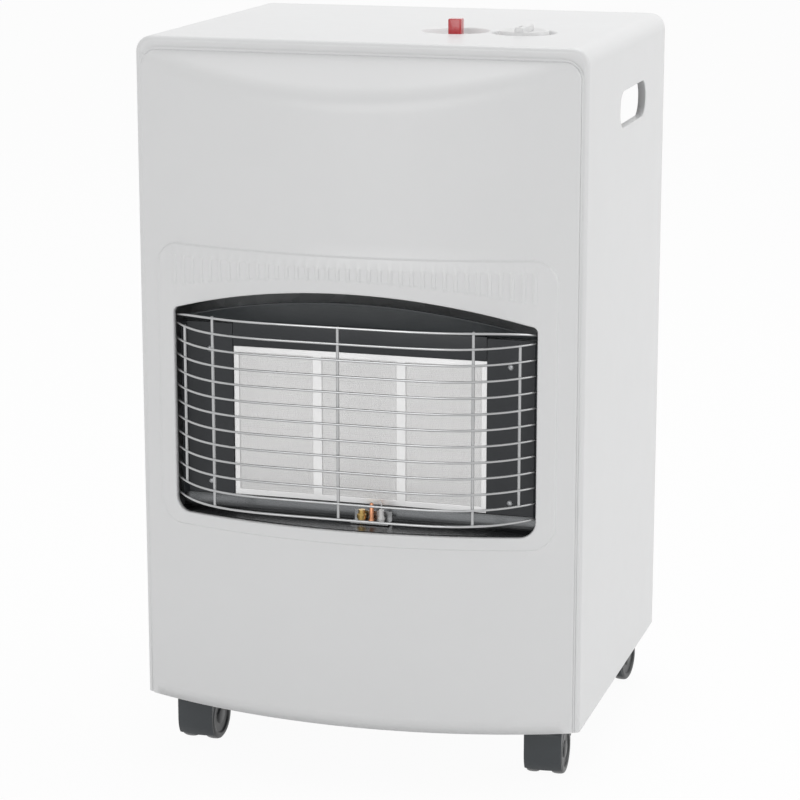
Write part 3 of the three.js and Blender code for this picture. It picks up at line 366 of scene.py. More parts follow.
def rounded_face(bm, corners, place, segments=8):
    """A flat face whose corners (a, b, radius) are arcs; place maps (a, b) to 3D."""
    ring = []
    count = len(corners)
    for i, (a, b, radius) in enumerate(corners):
        here = Vector((a, b))
        if not radius:
            ring.append(here)
            continue
        before = (Vector(corners[i - 1][:2]) - here).normalized()
        after = (Vector(corners[(i + 1) % count][:2]) - here).normalized()
        half = before.angle(after) / 2
        centre = here + (before + after).normalized() * radius / math.sin(half)
        start = here + before * radius / math.tan(half) - centre
        sweep = math.pi - 2 * half
        turn = sweep if before.x * after.y - before.y * after.x < 0 else -sweep
        for step in range(segments + 1):
            angle = turn * step / segments
            ring.append(centre + Vector((
                start.x * math.cos(angle) - start.y * math.sin(angle),
                start.x * math.sin(angle) + start.y * math.cos(angle),
            )))
    return bm.faces.new([bm.verts.new(place(*p)) for p in ring])


def box_corners(a0, a1, b0, b1, radius):
    return [(a0, b0, radius), (a1, b0, radius), (a1, b1, radius), (a0, b1, radius)]


def stepped(bm, face, steps):
    """Insets a face again and again by (inset, rise) steps; returns the face left in the middle."""
    for inset, rise in steps:
        bmesh.ops.inset_region(
            bm, faces=[face], thickness=inset, depth=rise, use_even_offset=True, use_boundary=True,
        )
    return face


def soft_step(width, rise, steps=6):
    """(inset, rise) steps of an S-shaped shoulder."""
    shape = [0.5 - 0.5 * math.cos(math.pi * i / steps) for i in range(steps + 1)]
    return [(width / steps, rise * (b - a)) for a, b in zip(shape, shape[1:])]


FLAT_RING = 0.0003  # a narrow flat ring outside a shoulder keeps the shading of the flat sheet clean


def fill_between(bm, faces):
    """Deletes flat faces but keeps their edges, and fills the area between those outlines."""
    edges = list({edge for face in faces for edge in face.edges})
    normal = faces[0].normal.copy()
    bmesh.ops.delete(bm, geom=faces, context="FACES_ONLY")
    made = bmesh.ops.triangle_fill(bm, edges=edges, use_beauty=True, use_dissolve=False, normal=normal)
    return [g for g in made["geom"] if isinstance(g, bmesh.types.BMFace)]


def cuts(bm, axis, positions):
    """Cuts the mesh by planes square to an axis."""
    normal = Vector([axis == name for name in "xyz"])
    for position in positions:
        bmesh.ops.bisect_plane(
            bm, geom=bm.verts[:] + bm.edges[:] + bm.faces[:], plane_co=normal * position, plane_no=normal,
            dist=CUT_TOLERANCE,
        )


def spun(profile, steps=48):
    """A profile of (radius, height) points spun about Z."""
    bm = bmesh.new()
    verts = [bm.verts.new((r, 0, z)) for r, z in profile]
    edges = [bm.edges.new(pair) for pair in zip(verts, verts[1:])]
    bmesh.ops.spin(
        bm, geom=verts + edges, cent=(0, 0, 0), axis=(0, 0, 1), dvec=(0, 0, 0),
        angle=math.tau, steps=steps, use_merge=True, use_duplicate=False,
    )
    bmesh.ops.remove_doubles(bm, verts=bm.verts, dist=TINY)
    bmesh.ops.recalc_face_normals(bm, faces=bm.faces)
    return bm


def moved(bm, matrix):
    bmesh.ops.transform(bm, matrix=matrix, verts=bm.verts)
    return bm


def joined(*parts):
    """One bmesh out of several."""
    whole = bmesh.new()
    for part in parts:
        mesh = bpy.data.meshes.new("part")
        part.to_mesh(mesh)
        part.free()
        whole.from_mesh(mesh)
        bpy.data.meshes.remove(mesh)
    return whole


def block(x0, x1, y0, y1, z0, z1, round_off=0.0, segments=3):
    bm = bmesh.new()
    bmesh.ops.create_cube(bm, size=1)
    moved(bm, Matrix.Translation(((x0 + x1) / 2, (y0 + y1) / 2, (z0 + z1) / 2))
          @ Matrix.Diagonal((x1 - x0, y1 - y0, z1 - z0, 1)))
    if round_off:
        bmesh.ops.bevel(
            bm, geom=bm.edges[:], offset=round_off, segments=segments, profile=0.5, affect="EDGES",
            clamp_overlap=True, material=-1,
        )
    return bm


def wire(way, radius, sides=10):
    """A round wire along points, made by extruding a circle from one to the next."""
    bm = bmesh.new()
    way = [Vector(p) for p in way]
    heading = [((way[i + 1] if i + 1 < len(way) else p) - (way[i - 1] if i else p)).normalized()
               for i, p in enumerate(way)]
    turn = Vector((0, 0, 1)).rotation_difference(heading[0])
    made = bmesh.ops.create_circle(bm, cap_ends=True, radius=radius, segments=sides)
    moved(bm, Matrix.Translation(way[0]) @ turn.to_matrix().to_4x4())
    ring = bm.faces[:]
    for i in range(1, len(way)):
        if i == 1:
            grown = bmesh.ops.extrude_face_region(bm, geom=ring)["geom"]
            ring = [g for g in grown if isinstance(g, bmesh.types.BMFace)]
        else:
            ring = bmesh.ops.extrude_discrete_faces(bm, faces=ring)["faces"]
        bend = heading[i - 1].rotation_difference(heading[i]).to_matrix().to_4x4()
        bmesh.ops.transform(
            bm, matrix=Matrix.Translation(way[i]) @ bend @ Matrix.Translation(-way[i - 1]),
            verts=list({v for f in ring for v in f.verts}),
        )
    bmesh.ops.recalc_face_normals(bm, faces=bm.faces)
    return bm


# ---------------------------------------------------------------- bowed front panel

def crescent_point(x, share):
    """A point of the panel's upper part at x: share 0 is where the plain wall ends, 1 is the crest."""
    face = bow_y(x)
    edge = Vector((face, PANEL_TOP - CRESCENT_SLOPE * (FRONT - face)))
    crest = Vector((FRONT, PANEL_TOP))
    reach = (crest - edge).length
    soft = min(CRESCENT_ROUND, reach * 0.8)
    wall = edge.y - CRESCENT_FROM
    along = share * (wall + reach)
    start, end = edge - Vector((0, soft)), edge.lerp(crest, soft / reach)
    if along < wall - soft:
        at = Vector((face, CRESCENT_FROM + along))
    elif along < wall + soft:
        t = (along - wall + soft) / (2 * soft)
        at = start.lerp(edge, t).lerp(edge.lerp(end, t), t)
    else:
        at = edge.lerp(crest, (along - wall) / reach)
    return at


def rib_rise(x, z):
    """How far the pressed ribs lift the sheet at x, z."""
    pitch = 2 * RIB_ROW / (RIB_COUNT - 1)
    nearest = round((x + RIB_ROW) / pitch) * pitch - RIB_ROW
    foot = RIB_FOOT_MIDDLE - (RIB_FOOT_MIDDLE - RIB_FOOT_END) * (nearest / RIB_ROW) ** 2
    if abs(nearest) > RIB_ROW + TINY:
        return 0.0
    side = max(0.0, 1 - (abs(x - nearest) / (RIB_WIDTH / 2)) ** 4)
    ends = min(max((z - foot) / 0.003, 0.0), max((RIB_TOP - z) / 0.003, 0.0), 1.0)
    return RIB_HEIGHT * side * math.sin(ends * math.pi / 2)


def tidy_cells(bm):
    """Leaves the flat sheet's cells whole, with no slanting edge and no spare vertex on a straight."""
    slanting = []
    for edge in bm.edges:
        across, upward = (abs(edge.verts[0].co[i] - edge.verts[1].co[i]) for i in (0, 2))
        if len(edge.link_faces) == 2 and min(across, upward) > 1e-5 and edge.calc_face_angle() < 0.01:
            if abs(edge.link_faces[0].normal.y) > 0.9999:
                slanting.append(edge)
    bmesh.ops.dissolve_edges(bm, edges=slanting, use_verts=False, use_face_split=False)
    spare = []
    for vert in bm.verts:
        if len(vert.link_edges) == 2:
            one, two = (edge.other_vert(vert).co - vert.co for edge in vert.link_edges)
            if abs(one.angle(two) - math.pi) < 1e-4:
                spare.append(vert)
    bmesh.ops.dissolve_verts(bm, verts=spare)


def bent(x, out, share, z, crested):
    """Where a point of the flat sheet comes to lie once the panel is bowed."""
    if not crested:
        lean = math.asin(x / BOW_RADIUS)
        return Vector((x + out * math.sin(lean), bow_y(x) - out * math.cos(lean), z))
    at = crescent_point(x, share)
    return Vector((x, at.x, at.y))


def turned_edge(bm, edges):
    """Rolls the panel's side and top edges round and takes them back to the cabinet's rim."""
    corner_x, corner_z = PANEL_HALF - PANEL_CORNER, PANEL_TOP - PANEL_CORNER
    ways = {}
    for vert in {v for edge in edges for v in edge.verts}:
        side = Vector((vert.co.x - max(-corner_x, min(corner_x, vert.co.x)), 0, max(0, vert.co.z - corner_z)))
        if side.length < TINY:
            side = Vector((vert.co.x, 0, 0))
        side.normalize()
        ways[vert] = (side, math.asin(max(0.0, min(0.85, vert.normal.dot(side)))))
    steps = 5
    for step in range(1, steps + 2):
        grown = bmesh.ops.extrude_edge_only(bm, edges=edges)["geom"]
        edges = [g for g in grown if isinstance(g, bmesh.types.BMEdge)]
        placed = {}
        for vert in (g for g in grown if isinstance(g, bmesh.types.BMVert)):
            source = next(e.other_vert(vert) for e in vert.link_edges if e.other_vert(vert) in ways)
            side, start = ways[source]
            if step > steps:
                vert.co.y = FRONT + PANEL_RETURN
            else:
                radius = EDGE_INSET / (1 - math.sin(start))
                before = start + (math.pi / 2 - start) * (step - 1) / steps
                after = start + (math.pi / 2 - start) * step / steps
                vert.co += side * radius * (math.sin(after) - math.sin(before))
                vert.co.y += radius * (math.cos(before) - math.cos(after))
            placed[vert] = (side, start)
        ways = placed


def front_panel():
    bm = bmesh.new()
    flat = lambda a, b: Vector((a, 0, b))
    lifted = lambda a, b: Vector((a, -EMBOSS, b))
    top = PANEL_TOP - CRESCENT_SLOPE * BOW + BOW * math.hypot(1, CRESCENT_SLOPE) - EDGE_INSET
    half = PANEL_HALF - EDGE_INSET
    sheet_face = rounded_face(bm, [
        (-half, BOTTOM, 0), (half, BOTTOM, 0), (half, top, PANEL_CORNER), (-half, top, PANEL_CORNER),
    ], flat, 12)
    frame_corners = box_corners(-FRAME_HALF, FRAME_HALF, FRAME_LOW, FRAME_HIGH, FRAME_CORNER)
    frame_face = rounded_face(bm, frame_corners, flat, 12)
    # the flat sheet round the frame, then the frame's shoulder
    frame_middle = bm.faces.new([bm.verts.new(v.co) for v in frame_face.verts])
    bm.normal_update()
    fill_between(bm, [sheet_face, frame_face])
    stepped(bm, frame_middle, soft_step(FRAME_SHOULDER, EMBOSS, 6))
    # the window, rounded into a lip that turns back
    round_edge = 0.0014
    half, shoulder = WINDOW_HALF + round_edge, arch_z(WINDOW_HALF, round_edge)
    steps = 28
    arch = [half * (1 - 2 * (i + 1) / steps) for i in range(steps - 1)]
    window_face = rounded_face(bm, [
        (-half, WINDOW_LOW - round_edge, WINDOW_CORNER), (half, WINDOW_LOW - round_edge, WINDOW_CORNER),
        (half, shoulder, 0.008), *((a, arch_z(a, round_edge), 0) for a in arch), (-half, shoulder, 0.008),
    ], lifted, 8)
    window_middle = bm.faces.new([bm.verts.new(v.co) for v in window_face.verts])
    bm.normal_update()
    fill_between(bm, [frame_middle, window_face])
    arc = [(math.sin(math.pi / 2 * k / 4), 1 - math.cos(math.pi / 2 * k / 4)) for k in range(5)]
    stepped(bm, window_middle, [
        (round_edge * (b[0] - a[0]), -round_edge * (b[1] - a[1])) for a, b in zip(arc, arc[1:])
    ] + [(0.00001, -WINDOW_LIP)])
    bmesh.ops.delete(bm, geom=[window_middle], context="FACES_ONLY")
    bmesh.ops.remove_doubles(bm, verts=bm.verts, dist=TINY)
    # cuts that let the flat sheet bend and take the ribs
    pitch = 2 * RIB_ROW / (RIB_COUNT - 1)
    shares = (-0.5, -0.36, -0.2, 0, 0.2, 0.36, 0.5)
    middles = [pitch * i - RIB_ROW for i in range(RIB_COUNT)]
    cuts(bm, "x", [m + RIB_WIDTH * s for m in middles for s in shares])
    cuts(bm, "x", [side * (RIB_ROW + 0.007 * i) for side in (-1, 1) for i in range(1, 6)])
    cuts(bm, "z", [BOTTOM + (FRAME_LOW - BOTTOM) * i / 14 for i in range(1, 14)])
    cuts(bm, "z", [FRAME_LOW + (RIB_FOOT_END - FRAME_LOW) * i / 20 for i in range(20)])
    cuts(bm, "z", [RIB_FOOT_END + (RIB_TOP - RIB_FOOT_END) * i / 24 for i in range(25)])
    cuts(bm, "z", [FRAME_HIGH + (CRESCENT_FROM - FRAME_HIGH) * i / 8 for i in range(8)])
    cuts(bm, "z", [CRESCENT_FROM + (top - CRESCENT_FROM) * i / 44 for i in range(44)])
    bmesh.ops.remove_doubles(bm, verts=bm.verts, dist=0.00002)
    bm.normal_update()
    tidy_cells(bm)
    bmesh.ops.recalc_face_normals(bm, faces=bm.faces)
    # bend the sheet to the bow, lift the ribs and round the top corners
    rim = {v for e in bm.edges if e.is_boundary for v in e.verts
           if abs(v.co.x) > FRAME_HALF or v.co.z > FRAME_HIGH}
    corner_x, corner_z = PANEL_HALF - PANEL_CORNER, PANEL_TOP - PANEL_CORNER
    for vert in bm.verts:
        x, out, z = vert.co.x, -vert.co.y, vert.co.z
        if out > EMBOSS - TINY:
            out += rib_rise(x, z)
        share = (z - CRESCENT_FROM) / (top - CRESCENT_FROM)
        vert.co = bent(x, out, share, z, z > CRESCENT_FROM)
        if vert in rim and vert.co.z > corner_z and abs(x) > corner_x:
            reach = (PANEL_CORNER - EDGE_INSET) ** 2 - (vert.co.z - corner_z) ** 2
            vert.co.x = math.copysign(corner_x + math.sqrt(max(0, reach)), x)
    bmesh.ops.recalc_face_normals(bm, faces=bm.faces)
    bm.normal_update()
    if sum(face.normal.y * face.calc_area() for face in bm.faces) > 0:
        bmesh.ops.reverse_faces(bm, faces=bm.faces)
    bm.normal_update()
    turned_edge(bm, [e for e in bm.edges if e.is_boundary and all(v in rim for v in e.verts)])
    return bm


finished("bowed_front_panel", front_panel(), WHITE_PAINT, stands_for=["front_panel"], sheet=SHEET)

# ---------------------------------------------------------------- cabinet wrap


def dish(bm, centre, radius, steps):
    """A round dish, drawn in and down by (inset, rise) steps and floored; returns the face of its rim."""
    ring = bmesh.ops.create_circle(
        bm, cap_ends=False, radius=radius, segments=64, matrix=Matrix.Translation(centre),
    )["verts"]
    rim = bm.faces.new(ring)
    edges = list(rim.edges)
    for inset, rise in steps:
        grown = bmesh.ops.extrude_edge_only(bm, edges=edges)["geom"]
        edges = [g for g in grown if isinstance(g, bmesh.types.BMEdge)]
        verts = [g for g in grown if isinstance(g, bmesh.types.BMVert)]
        smaller = (radius - inset) / radius
        bmesh.ops.scale(bm, vec=(smaller, smaller, 1), space=Matrix.Translation(-centre), verts=verts)
        bmesh.ops.translate(bm, vec=(0, 0, rise), verts=verts)
        radius -= inset
    bmesh.ops.edgeloop_fill(bm, edges=edges)
    return rim


def cabinet_wrap():
    bm = bmesh.new()
    steps = 10

    def hoop(y, inset, top_inset, corner):
        """Vertices of an upright U at y, from its left foot over the top to its right foot."""
        half, high = HALF - inset, TOP - top_inset
        points = [(-half, BOTTOM)]
        for centre, first in ((-(half - corner), math.pi), (half - corner, math.pi / 2)):
            turns = [first - math.pi / 2 * k / steps for k in range(steps + 1)]
            points += [
                (centre + corner * math.cos(turn), high - corner + corner * math.sin(turn)) for turn in turns
            ]
        return [bm.verts.new((x, y, z)) for x, z in points + [(half, BOTTOM)]]

    def strip(hoops):
        rows = [[bm.edges.new(pair) for pair in zip(ring, ring[1:])] for ring in hoops]
        for near, far in zip(rows, rows[1:]):
            bmesh.ops.bridge_loops(bm, edges=near + far)

    quarter = [(math.sin(math.pi / 2 * k / 6), math.cos(math.pi / 2 * k / 6)) for k in range(7)]
    front_round = [
        hoop(FRONT + WRAP_ROUND * (1 - s), WRAP_ROUND * (1 - c), WRAP_ROUND * (1 - c),
             WRAP_CORNER - WRAP_ROUND * (1 - c))
        for s, c in quarter
    ]
    lip = 0.001
    rim = [
        hoop(FRONT + lip * (1 - c), RIM_SIDE - lip * (1 - s), RIM_TOP - lip * (1 - s),
             RIM_CORNER + lip * (1 - s))
        for s, c in quarter[::-2]
    ]
    rim.append(hoop(FRONT + 0.010, RIM_SIDE, RIM_TOP, RIM_CORNER))
    back_round = 0.0015
    back = [
        hoop(BACK - back_round * (1 - s), back_round * (1 - c), back_round * (1 - c),
             WRAP_CORNER - back_round * (1 - c))
        for s, c in quarter[::2]
    ]
    flange = hoop(BACK, BACK_FLANGE, BACK_FLANGE, BACK_CORNER)
    strip([flange] + back[::-1] + front_round + rim)
    bmesh.ops.remove_doubles(bm, verts=bm.verts, dist=TINY)
    bmesh.ops.recalc_face_normals(bm, faces=bm.faces)
    bm.normal_update()
    # dishes in the top, hand holds in the sides
    large = sorted(bm.faces, key=lambda f: -f.calc_area())[:3]
    top_face = max(large, key=lambda f: f.normal.z)
    if top_face.normal.z < 0.5:
        bmesh.ops.reverse_faces(bm, faces=bm.faces)
        bm.normal_update()
        large = sorted(bm.faces, key=lambda f: -f.calc_area())[:3]
        top_face = max(large, key=lambda f: f.normal.z)
    between = Vector(((BUTTON_X + KNOB_X) / 2, CONTROL_Y, TOP))
    for way in (Vector(p) for p in ((PATCH_X, 0, 0), (-PATCH_X, 0, 0), (0, PATCH_Y, 0), (0, -PATCH_Y, 0))):
        bmesh.ops.bisect_plane(
            bm, geom=[top_face, *top_face.edges, *top_face.verts], plane_co=between + way, plane_no=way,
            dist=CUT_TOLERANCE,
        )
        flat = [f for f in bm.faces if f.normal.z > 0.999 and f.calc_center_median().z > TOP - TINY]
        top_face = next(f for f in flat if bmesh.geometry.intersect_face_point(f, between))
    draft = [(FLAT_RING, 0)] + soft_step(DISH_DRAFT, -DISH_DEPTH, 12)
    rims = [
        dish(bm, Vector((x, CONTROL_Y, TOP)), radius + DISH_EDGE + FLAT_RING, draft) for x, radius in DISHES
    ]
    bm.normal_update()
    fill_between(bm, [top_face] + rims)
    bmesh.ops.dissolve_degenerate(bm, dist=1e-5, edges=bm.edges)
    for side in (-1, 1):
        wall = next(f for f in large if f.is_valid and f.normal.x * side > 0.5)
        along, upward = HOLD_LENGTH / 2 + HOLD_ROUND, HOLD_HEIGHT / 2 + HOLD_ROUND
        corners = box_corners(
            HOLD_Y - along, HOLD_Y + along, HOLD_Z - upward, HOLD_Z + upward, HOLD_HEIGHT / 2,
        )
        place = lambda a, b: Vector((side * HALF, a, b))
        hold = rounded_face(bm, corners, place, 12)
        lip_face = bm.faces.new([bm.verts.new(v.co) for v in hold.verts])
        bm.normal_update()
        if lip_face.normal.x * side < 0:
            lip_face.normal_flip()
        fill_between(bm, [wall, hold])
        arc = [(s, 1 - c) for s, c in quarter[::2]]
        stepped(bm, lip_face, [
            (HOLD_ROUND * (b[0] - a[0]), -HOLD_ROUND * (b[1] - a[1])) for a, b in zip(arc, arc[1:])
        ] + [(0.00001, -HOLD_LIP + HOLD_ROUND)])
        bmesh.ops.delete(bm, geom=[lip_face], context="FACES_ONLY")
    bmesh.ops.remove_doubles(bm, verts=bm.verts, dist=TINY)
    bmesh.ops.recalc_face_normals(bm, faces=bm.faces)
    bm.normal_update()
    if sum(face.normal.z * face.calc_area() for face in bm.faces) < 0:
        bmesh.ops.reverse_faces(bm, faces=bm.faces)
    return bm


finished(
    "white_cabinet_wrap", cabinet_wrap(), WHITE_PAINT, stands_for=["cabinet_wrap"], sheet=SHEET,
    weighted=True,
)

# ---------------------------------------------------------------- wire guard

GUARD_SPAN = WINDOW_HALF + 0.003
GUARD_END = FRONT - 0.005
GUARD_ROD = WINDOW_HALF + 0.006
GUARD_BULGE = 0.062
GUARD_WIRE, GUARD_UPRIGHT = 0.00115, 0.0015
GUARD_LOW, GUARD_HIGH, GUARD_COUNT = 0.2795, 0.4675, 13
GUARD_DIP = 0.011
GUARD_SQUARENESS = 4.7


def guard_y(x):
    return GUARD_END - GUARD_BULGE * (1 - min(1, abs(x) / GUARD_SPAN) ** GUARD_SQUARENESS)


def wire_guard():
    parts = []
    pitch = (GUARD_HIGH - GUARD_LOW) / (GUARD_COUNT - 1)
    stations = 60
    for i in range(GUARD_COUNT):
        dip = GUARD_DIP if i == GUARD_COUNT - 1 else 0
        way = []
        for k in range(stations + 1):
            share = math.sin(math.pi / 2 * (2 * k / stations - 1))
            x = GUARD_ROD * share
            way.append((x, guard_y(x), GUARD_LOW + pitch * i - dip * abs(share) ** 8))
        parts.append(wire(way, GUARD_WIRE))
    behind = GUARD_WIRE + GUARD_UPRIGHT - 0.0005
    wide, near = WINDOW_HALF - 0.0145, WINDOW_HALF - 0.053
    for x, skip in ((0, 0), (near, 0), (-near, 0), (wide, 1), (-wide, 1)):
        low, high = GUARD_LOW + pitch * skip - 0.001, GUARD_HIGH - pitch * skip + 0.001
        parts.append(wire([(x, guard_y(x) + behind, low), (x, guard_y(x) + behind, high)], GUARD_UPRIGHT, 14))
    low, high = GUARD_LOW - 0.005, GUARD_HIGH - GUARD_DIP + 0.004
    inside = bow_y(GUARD_ROD + GUARD_UPRIGHT, EMBOSS - SHEET) + 0.0003
    for x in (-GUARD_ROD, GUARD_ROD):
        post = [(x, GUARD_END, low - GUARD_UPRIGHT), (x, GUARD_END, high + GUARD_UPRIGHT)]
        parts.append(wire(post, GUARD_UPRIGHT, 14))
        parts += [wire([(x, inside, z), (x, GUARD_END, z)], GUARD_UPRIGHT, 14) for z in (low, high)]
    return joined(*parts)


finished("chromed_wire_guard", wire_guard(), GUARD_CHROME, stands_for=["wire_guard"])

# ---------------------------------------------------------------- fire side

SURROUND_BACK = FRONT + 0.003
SURROUND_HIGH = WINDOW_APEX - 0.045
CREST_BACK, CREST_DROP = 0.011, 0.012  # from the bowed front and from the arch


def top_deflector():
    """Dark sheet that rises forward from above the plaques to just under the window's arch."""
    bm = bmesh.new()
    bmesh.ops.create_grid(bm, x_segments=64, y_segments=10, size=1)
    half = WINDOW_HALF - 0.003
    for vert in bm.verts:
        x, share = vert.co.x * half, (vert.co.y + 1) / 2
        back = Vector((x, SURROUND_BACK, SURROUND_HIGH + SHEET))
        crest = Vector((x, bow_y(x) + CREST_BACK, arch_z(x) - CREST_DROP))
        vert.co = back.lerp(crest, share) + Vector((0, 0, 0.0012 * math.sin(math.pi * share)))
    bmesh.ops.recalc_face_normals(bm, faces=bm.faces)
    return bm


def deflector_band():
    low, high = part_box("plaque_frame")
    return block(
        low.x, high.x, SURROUND_BACK - SHEET, SURROUND_BACK, high.z + 0.0003, SURROUND_HIGH + SHEET, 0.0004,
    )


finished("arched_top_deflector", top_deflector(), DEFLECTOR_ENAMEL, stands_for=["top_deflector"], sheet=SHEET)
finished("deflector_band", deflector_band(), DARK_ENAMEL, stands_for=["top_deflector"])


def screw_head(x, y, z, radius=0.0032):
    """Pan head screw facing the front."""
    head = spun([(0, 0.0019), (radius * 0.55, 0.0016), (radius * 0.9, 0.0008), (radius, 0), (0, 0)], 20)
    slot_cut = block(-radius * 0.7, radius * 0.7, -0.0004, 0.0004, 0.0012, 0.0021, 0.0001)
    return moved(joined(head, slot_cut), Matrix.Translation((x, y, z)) @ Matrix.Rotation(math.pi / 2, 4, "X"))


def frame_screws():
    low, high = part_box("plaque_frame")
    side = (high.x + WINDOW_HALF - 0.006) / 2
    return joined(*(screw_head(x, SURROUND_BACK - SHEET, z) for x in (-side, side)
                    for z in (low.z + 0.012, high.z - 0.004)))


finished("surround_screws", frame_screws(), ZINC)

# ---------------------------------------------------------------- controls


def control_knob():
    """Skirt with a dished top and a round-ended grip bar across it."""
    radius = (KNOB_HIGH.x - KNOB_LOW.x) / 2
    low, high = KNOB_LOW.z, KNOB_HIGH.z
    skirt = low + 0.0055
    body = spun([
        (0, low), (radius - 0.0005, low), (radius, low + 0.0005), (radius - 0.0006, skirt - 0.0014),
        (radius - 0.0012, skirt - 0.0004), (radius - 0.0024, skirt), (radius - 0.0040, skirt - 0.0004),
        (radius - 0.0062, skirt - 0.0018), (radius - 0.0105, skirt - 0.0026), (0, skirt - 0.0028),
    ], 72)
    half = 0.0045
    grip = block(-half, half, -radius + 0.0018, radius - 0.0018, skirt - 0.0035, high, 0.0016, 4)
    for vert in grip.verts:
        # the grip is waisted, and its ends come down to the skirt
        share = abs(vert.co.y) / radius
        vert.co.x *= 1 - 0.22 * math.cos(math.pi / 2 * share)
        if vert.co.z > skirt:
            vert.co.z -= (high - skirt) * 0.45 * share ** 4
    pointer = block(
        -0.0006, 0.0006, -radius + 0.0045, -radius * 0.35, high - 0.0012, high - 0.0006, 0.0002, 2,
    )
    return moved(joined(body, grip, pointer), Matrix.Translation((KNOB_X, CONTROL_Y, 0)))


def igniter_button():
    low, high = BUTTON_LOW, BUTTON_HIGH
    return block(low.x, high.x, low.y, high.y, low.z, high.z, 0.0013, 5)


finished("knob_with_grip", control_knob(), WHITE_PLASTIC, body="knob", stands_for=["control_knob"])
finished("square_igniter_button", igniter_button(), RED_PLASTIC, body="button", stands_for=["igniter_button"])

# ---------------------------------------------------------------- rear cover

COVER_NEAR = BACK + 0.0003
SLOT_LENGTH, SLOT_HEIGHT = 0.130, 0.006
SLOT_ROWS, SLOT_PITCH, SLOT_X, SLOT_INSET = 6, 0.016, 0.087, 0.110
STUD_X, STUD_INSET = HALF - 0.0076, 0.060


def rear_cover():
    bm = bmesh.new()
    out = 0.012
    plain = lambda a, b: Vector((-a, COVER_NEAR + SHEET, b))
    raised = lambda a, b: Vector((-a, COVER_NEAR + SHEET + out, b))
    low, high, half = COVER_LOW.z, COVER_HIGH.z, COVER_HIGH.x
    border = 0.022
    edge = rounded_face(bm, box_corners(-half, half, low, high, 0.006), plain, 8)
    pan_corners = box_corners(-half + border, half - border, low + border, high - border, 0.014)
    pan_edge = rounded_face(bm, pan_corners, plain, 10)
    pan = bm.faces.new([bm.verts.new(v.co) for v in pan_edge.verts])
    bm.normal_update()
    fill_between(bm, [edge, pan_edge])
    stepped(bm, pan, soft_step(0.010, out, 8))
    rims, mouths = [], []
    length, height = SLOT_LENGTH, SLOT_HEIGHT
    for middle in (low + SLOT_INSET, high - SLOT_INSET):
        for side in (-1, 1):
            for i in range(SLOT_ROWS):
                x, z = side * SLOT_X, middle + SLOT_PITCH * (i - (SLOT_ROWS - 1) / 2)
                rim = rounded_face(bm, box_corners(
                    x - length / 2, x + length / 2, z - height / 2, z + height / 2, height / 2 - 0.0002,
                ), raised, 8)
                rims.append(rim)
                mouths.append(bm.faces.new([bm.verts.new(v.co) for v in rim.verts]))
    bm.normal_update()
    fill_between(bm, [pan] + rims)
    for mouth in mouths:
        stepped(bm, mouth, [(0.0004, -0.0003), (0.0002, -0.0014)])
    bmesh.ops.delete(bm, geom=mouths, context="FACES_ONLY")
    bmesh.ops.remove_doubles(bm, verts=bm.verts, dist=TINY)
    bmesh.ops.recalc_face_normals(bm, faces=bm.faces)
    bm.normal_update()
    if sum(face.normal.y * face.calc_area() for face in bm.faces) < 0:
        bmesh.ops.reverse_faces(bm, faces=bm.faces)
    return bm


def cover_studs():
    studs = []
    for x in (-STUD_X, STUD_X):
        for z in (COVER_LOW.z + STUD_INSET, COVER_HIGH.z - STUD_INSET):
            stud = spun([
                (0, -0.0075), (0.0020, -0.0075), (0.0030, -0.0060), (0.0024, -0.0040), (0.0030, 0),
                (0.0030, 0.0012), (0.0056, 0.0013), (0.0050, 0.0024), (0.0030, 0.0031), (0, 0.0034),
            ], 28)
            outwards = Matrix.Translation((x, BACK, z)) @ Matrix.Rotation(-math.pi / 2, 4, "X")
            studs.append(moved(stud, outwards))
    return joined(*studs)


finished(
    "louvred_rear_cover", rear_cover(), WHITE_PAINT, body="cover", stands_for=["rear_cover"], sheet=SHEET,
    weighted=True,
)
finished("cover_snap_studs", cover_studs(), BLACK_PLASTIC, body="cover")

# ---------------------------------------------------------------- castors

WHEEL_RADIUS = 0.025
CASTOR_TRAIL = 0.016
CASTOR_HALF, WEB_HALF = 0.019, 0.0063


def slab(corners, stations, bulge=0.0):
    """An outline of (y, z, radius) carried through stations of x; bulge swells it about the axle mid-way."""
    bm = bmesh.new()
    face = rounded_face(bm, corners, lambda a, b: Vector((stations[0], a, b)), 4)
    ring = [face]
    for before, after in zip(stations, stations[1:]):
        inner = [] if before == stations[0] else ring
        grown = bmesh.ops.extrude_face_region(bm, geom=ring)["geom"]
        ring = [g for g in grown if isinstance(g, bmesh.types.BMFace)]
        bmesh.ops.delete(bm, geom=[face for face in inner if face.is_valid], context="FACES_ONLY")
        bmesh.ops.translate(bm, vec=(after - before, 0, 0), verts=list({v for f in ring for v in f.verts}))
    for vert in bm.verts:
        share = 1 - (abs(vert.co.x) / stations[-1]) ** 2
        away = Vector((0, vert.co.y - CASTOR_TRAIL, vert.co.z - WHEEL_RADIUS))
        vert.co += away * bulge * (share - 1)
    bmesh.ops.recalc_face_normals(bm, faces=bm.faces)
    return bm


def on_arc(degrees, radius):
    angle = math.radians(degrees)
    return (CASTOR_TRAIL - radius * math.cos(angle), WHEEL_RADIUS + radius * math.sin(angle), 0)


def hood_top(outer):
    """Outline of the hood's outer side, from its front foot over the stem to its rear end."""
    high = 0.057
    front = CASTOR_TRAIL - outer
    way = [on_arc(angle, outer) for angle in (-34, -26, -18, -9, 0)]
    way += [(front, high - 0.009, 0.008), (front + 0.0045, high, 0.004), (0.012, high, 0.003)]
    return way + [on_arc(angle, outer) for angle in range(122, 169, 6)]


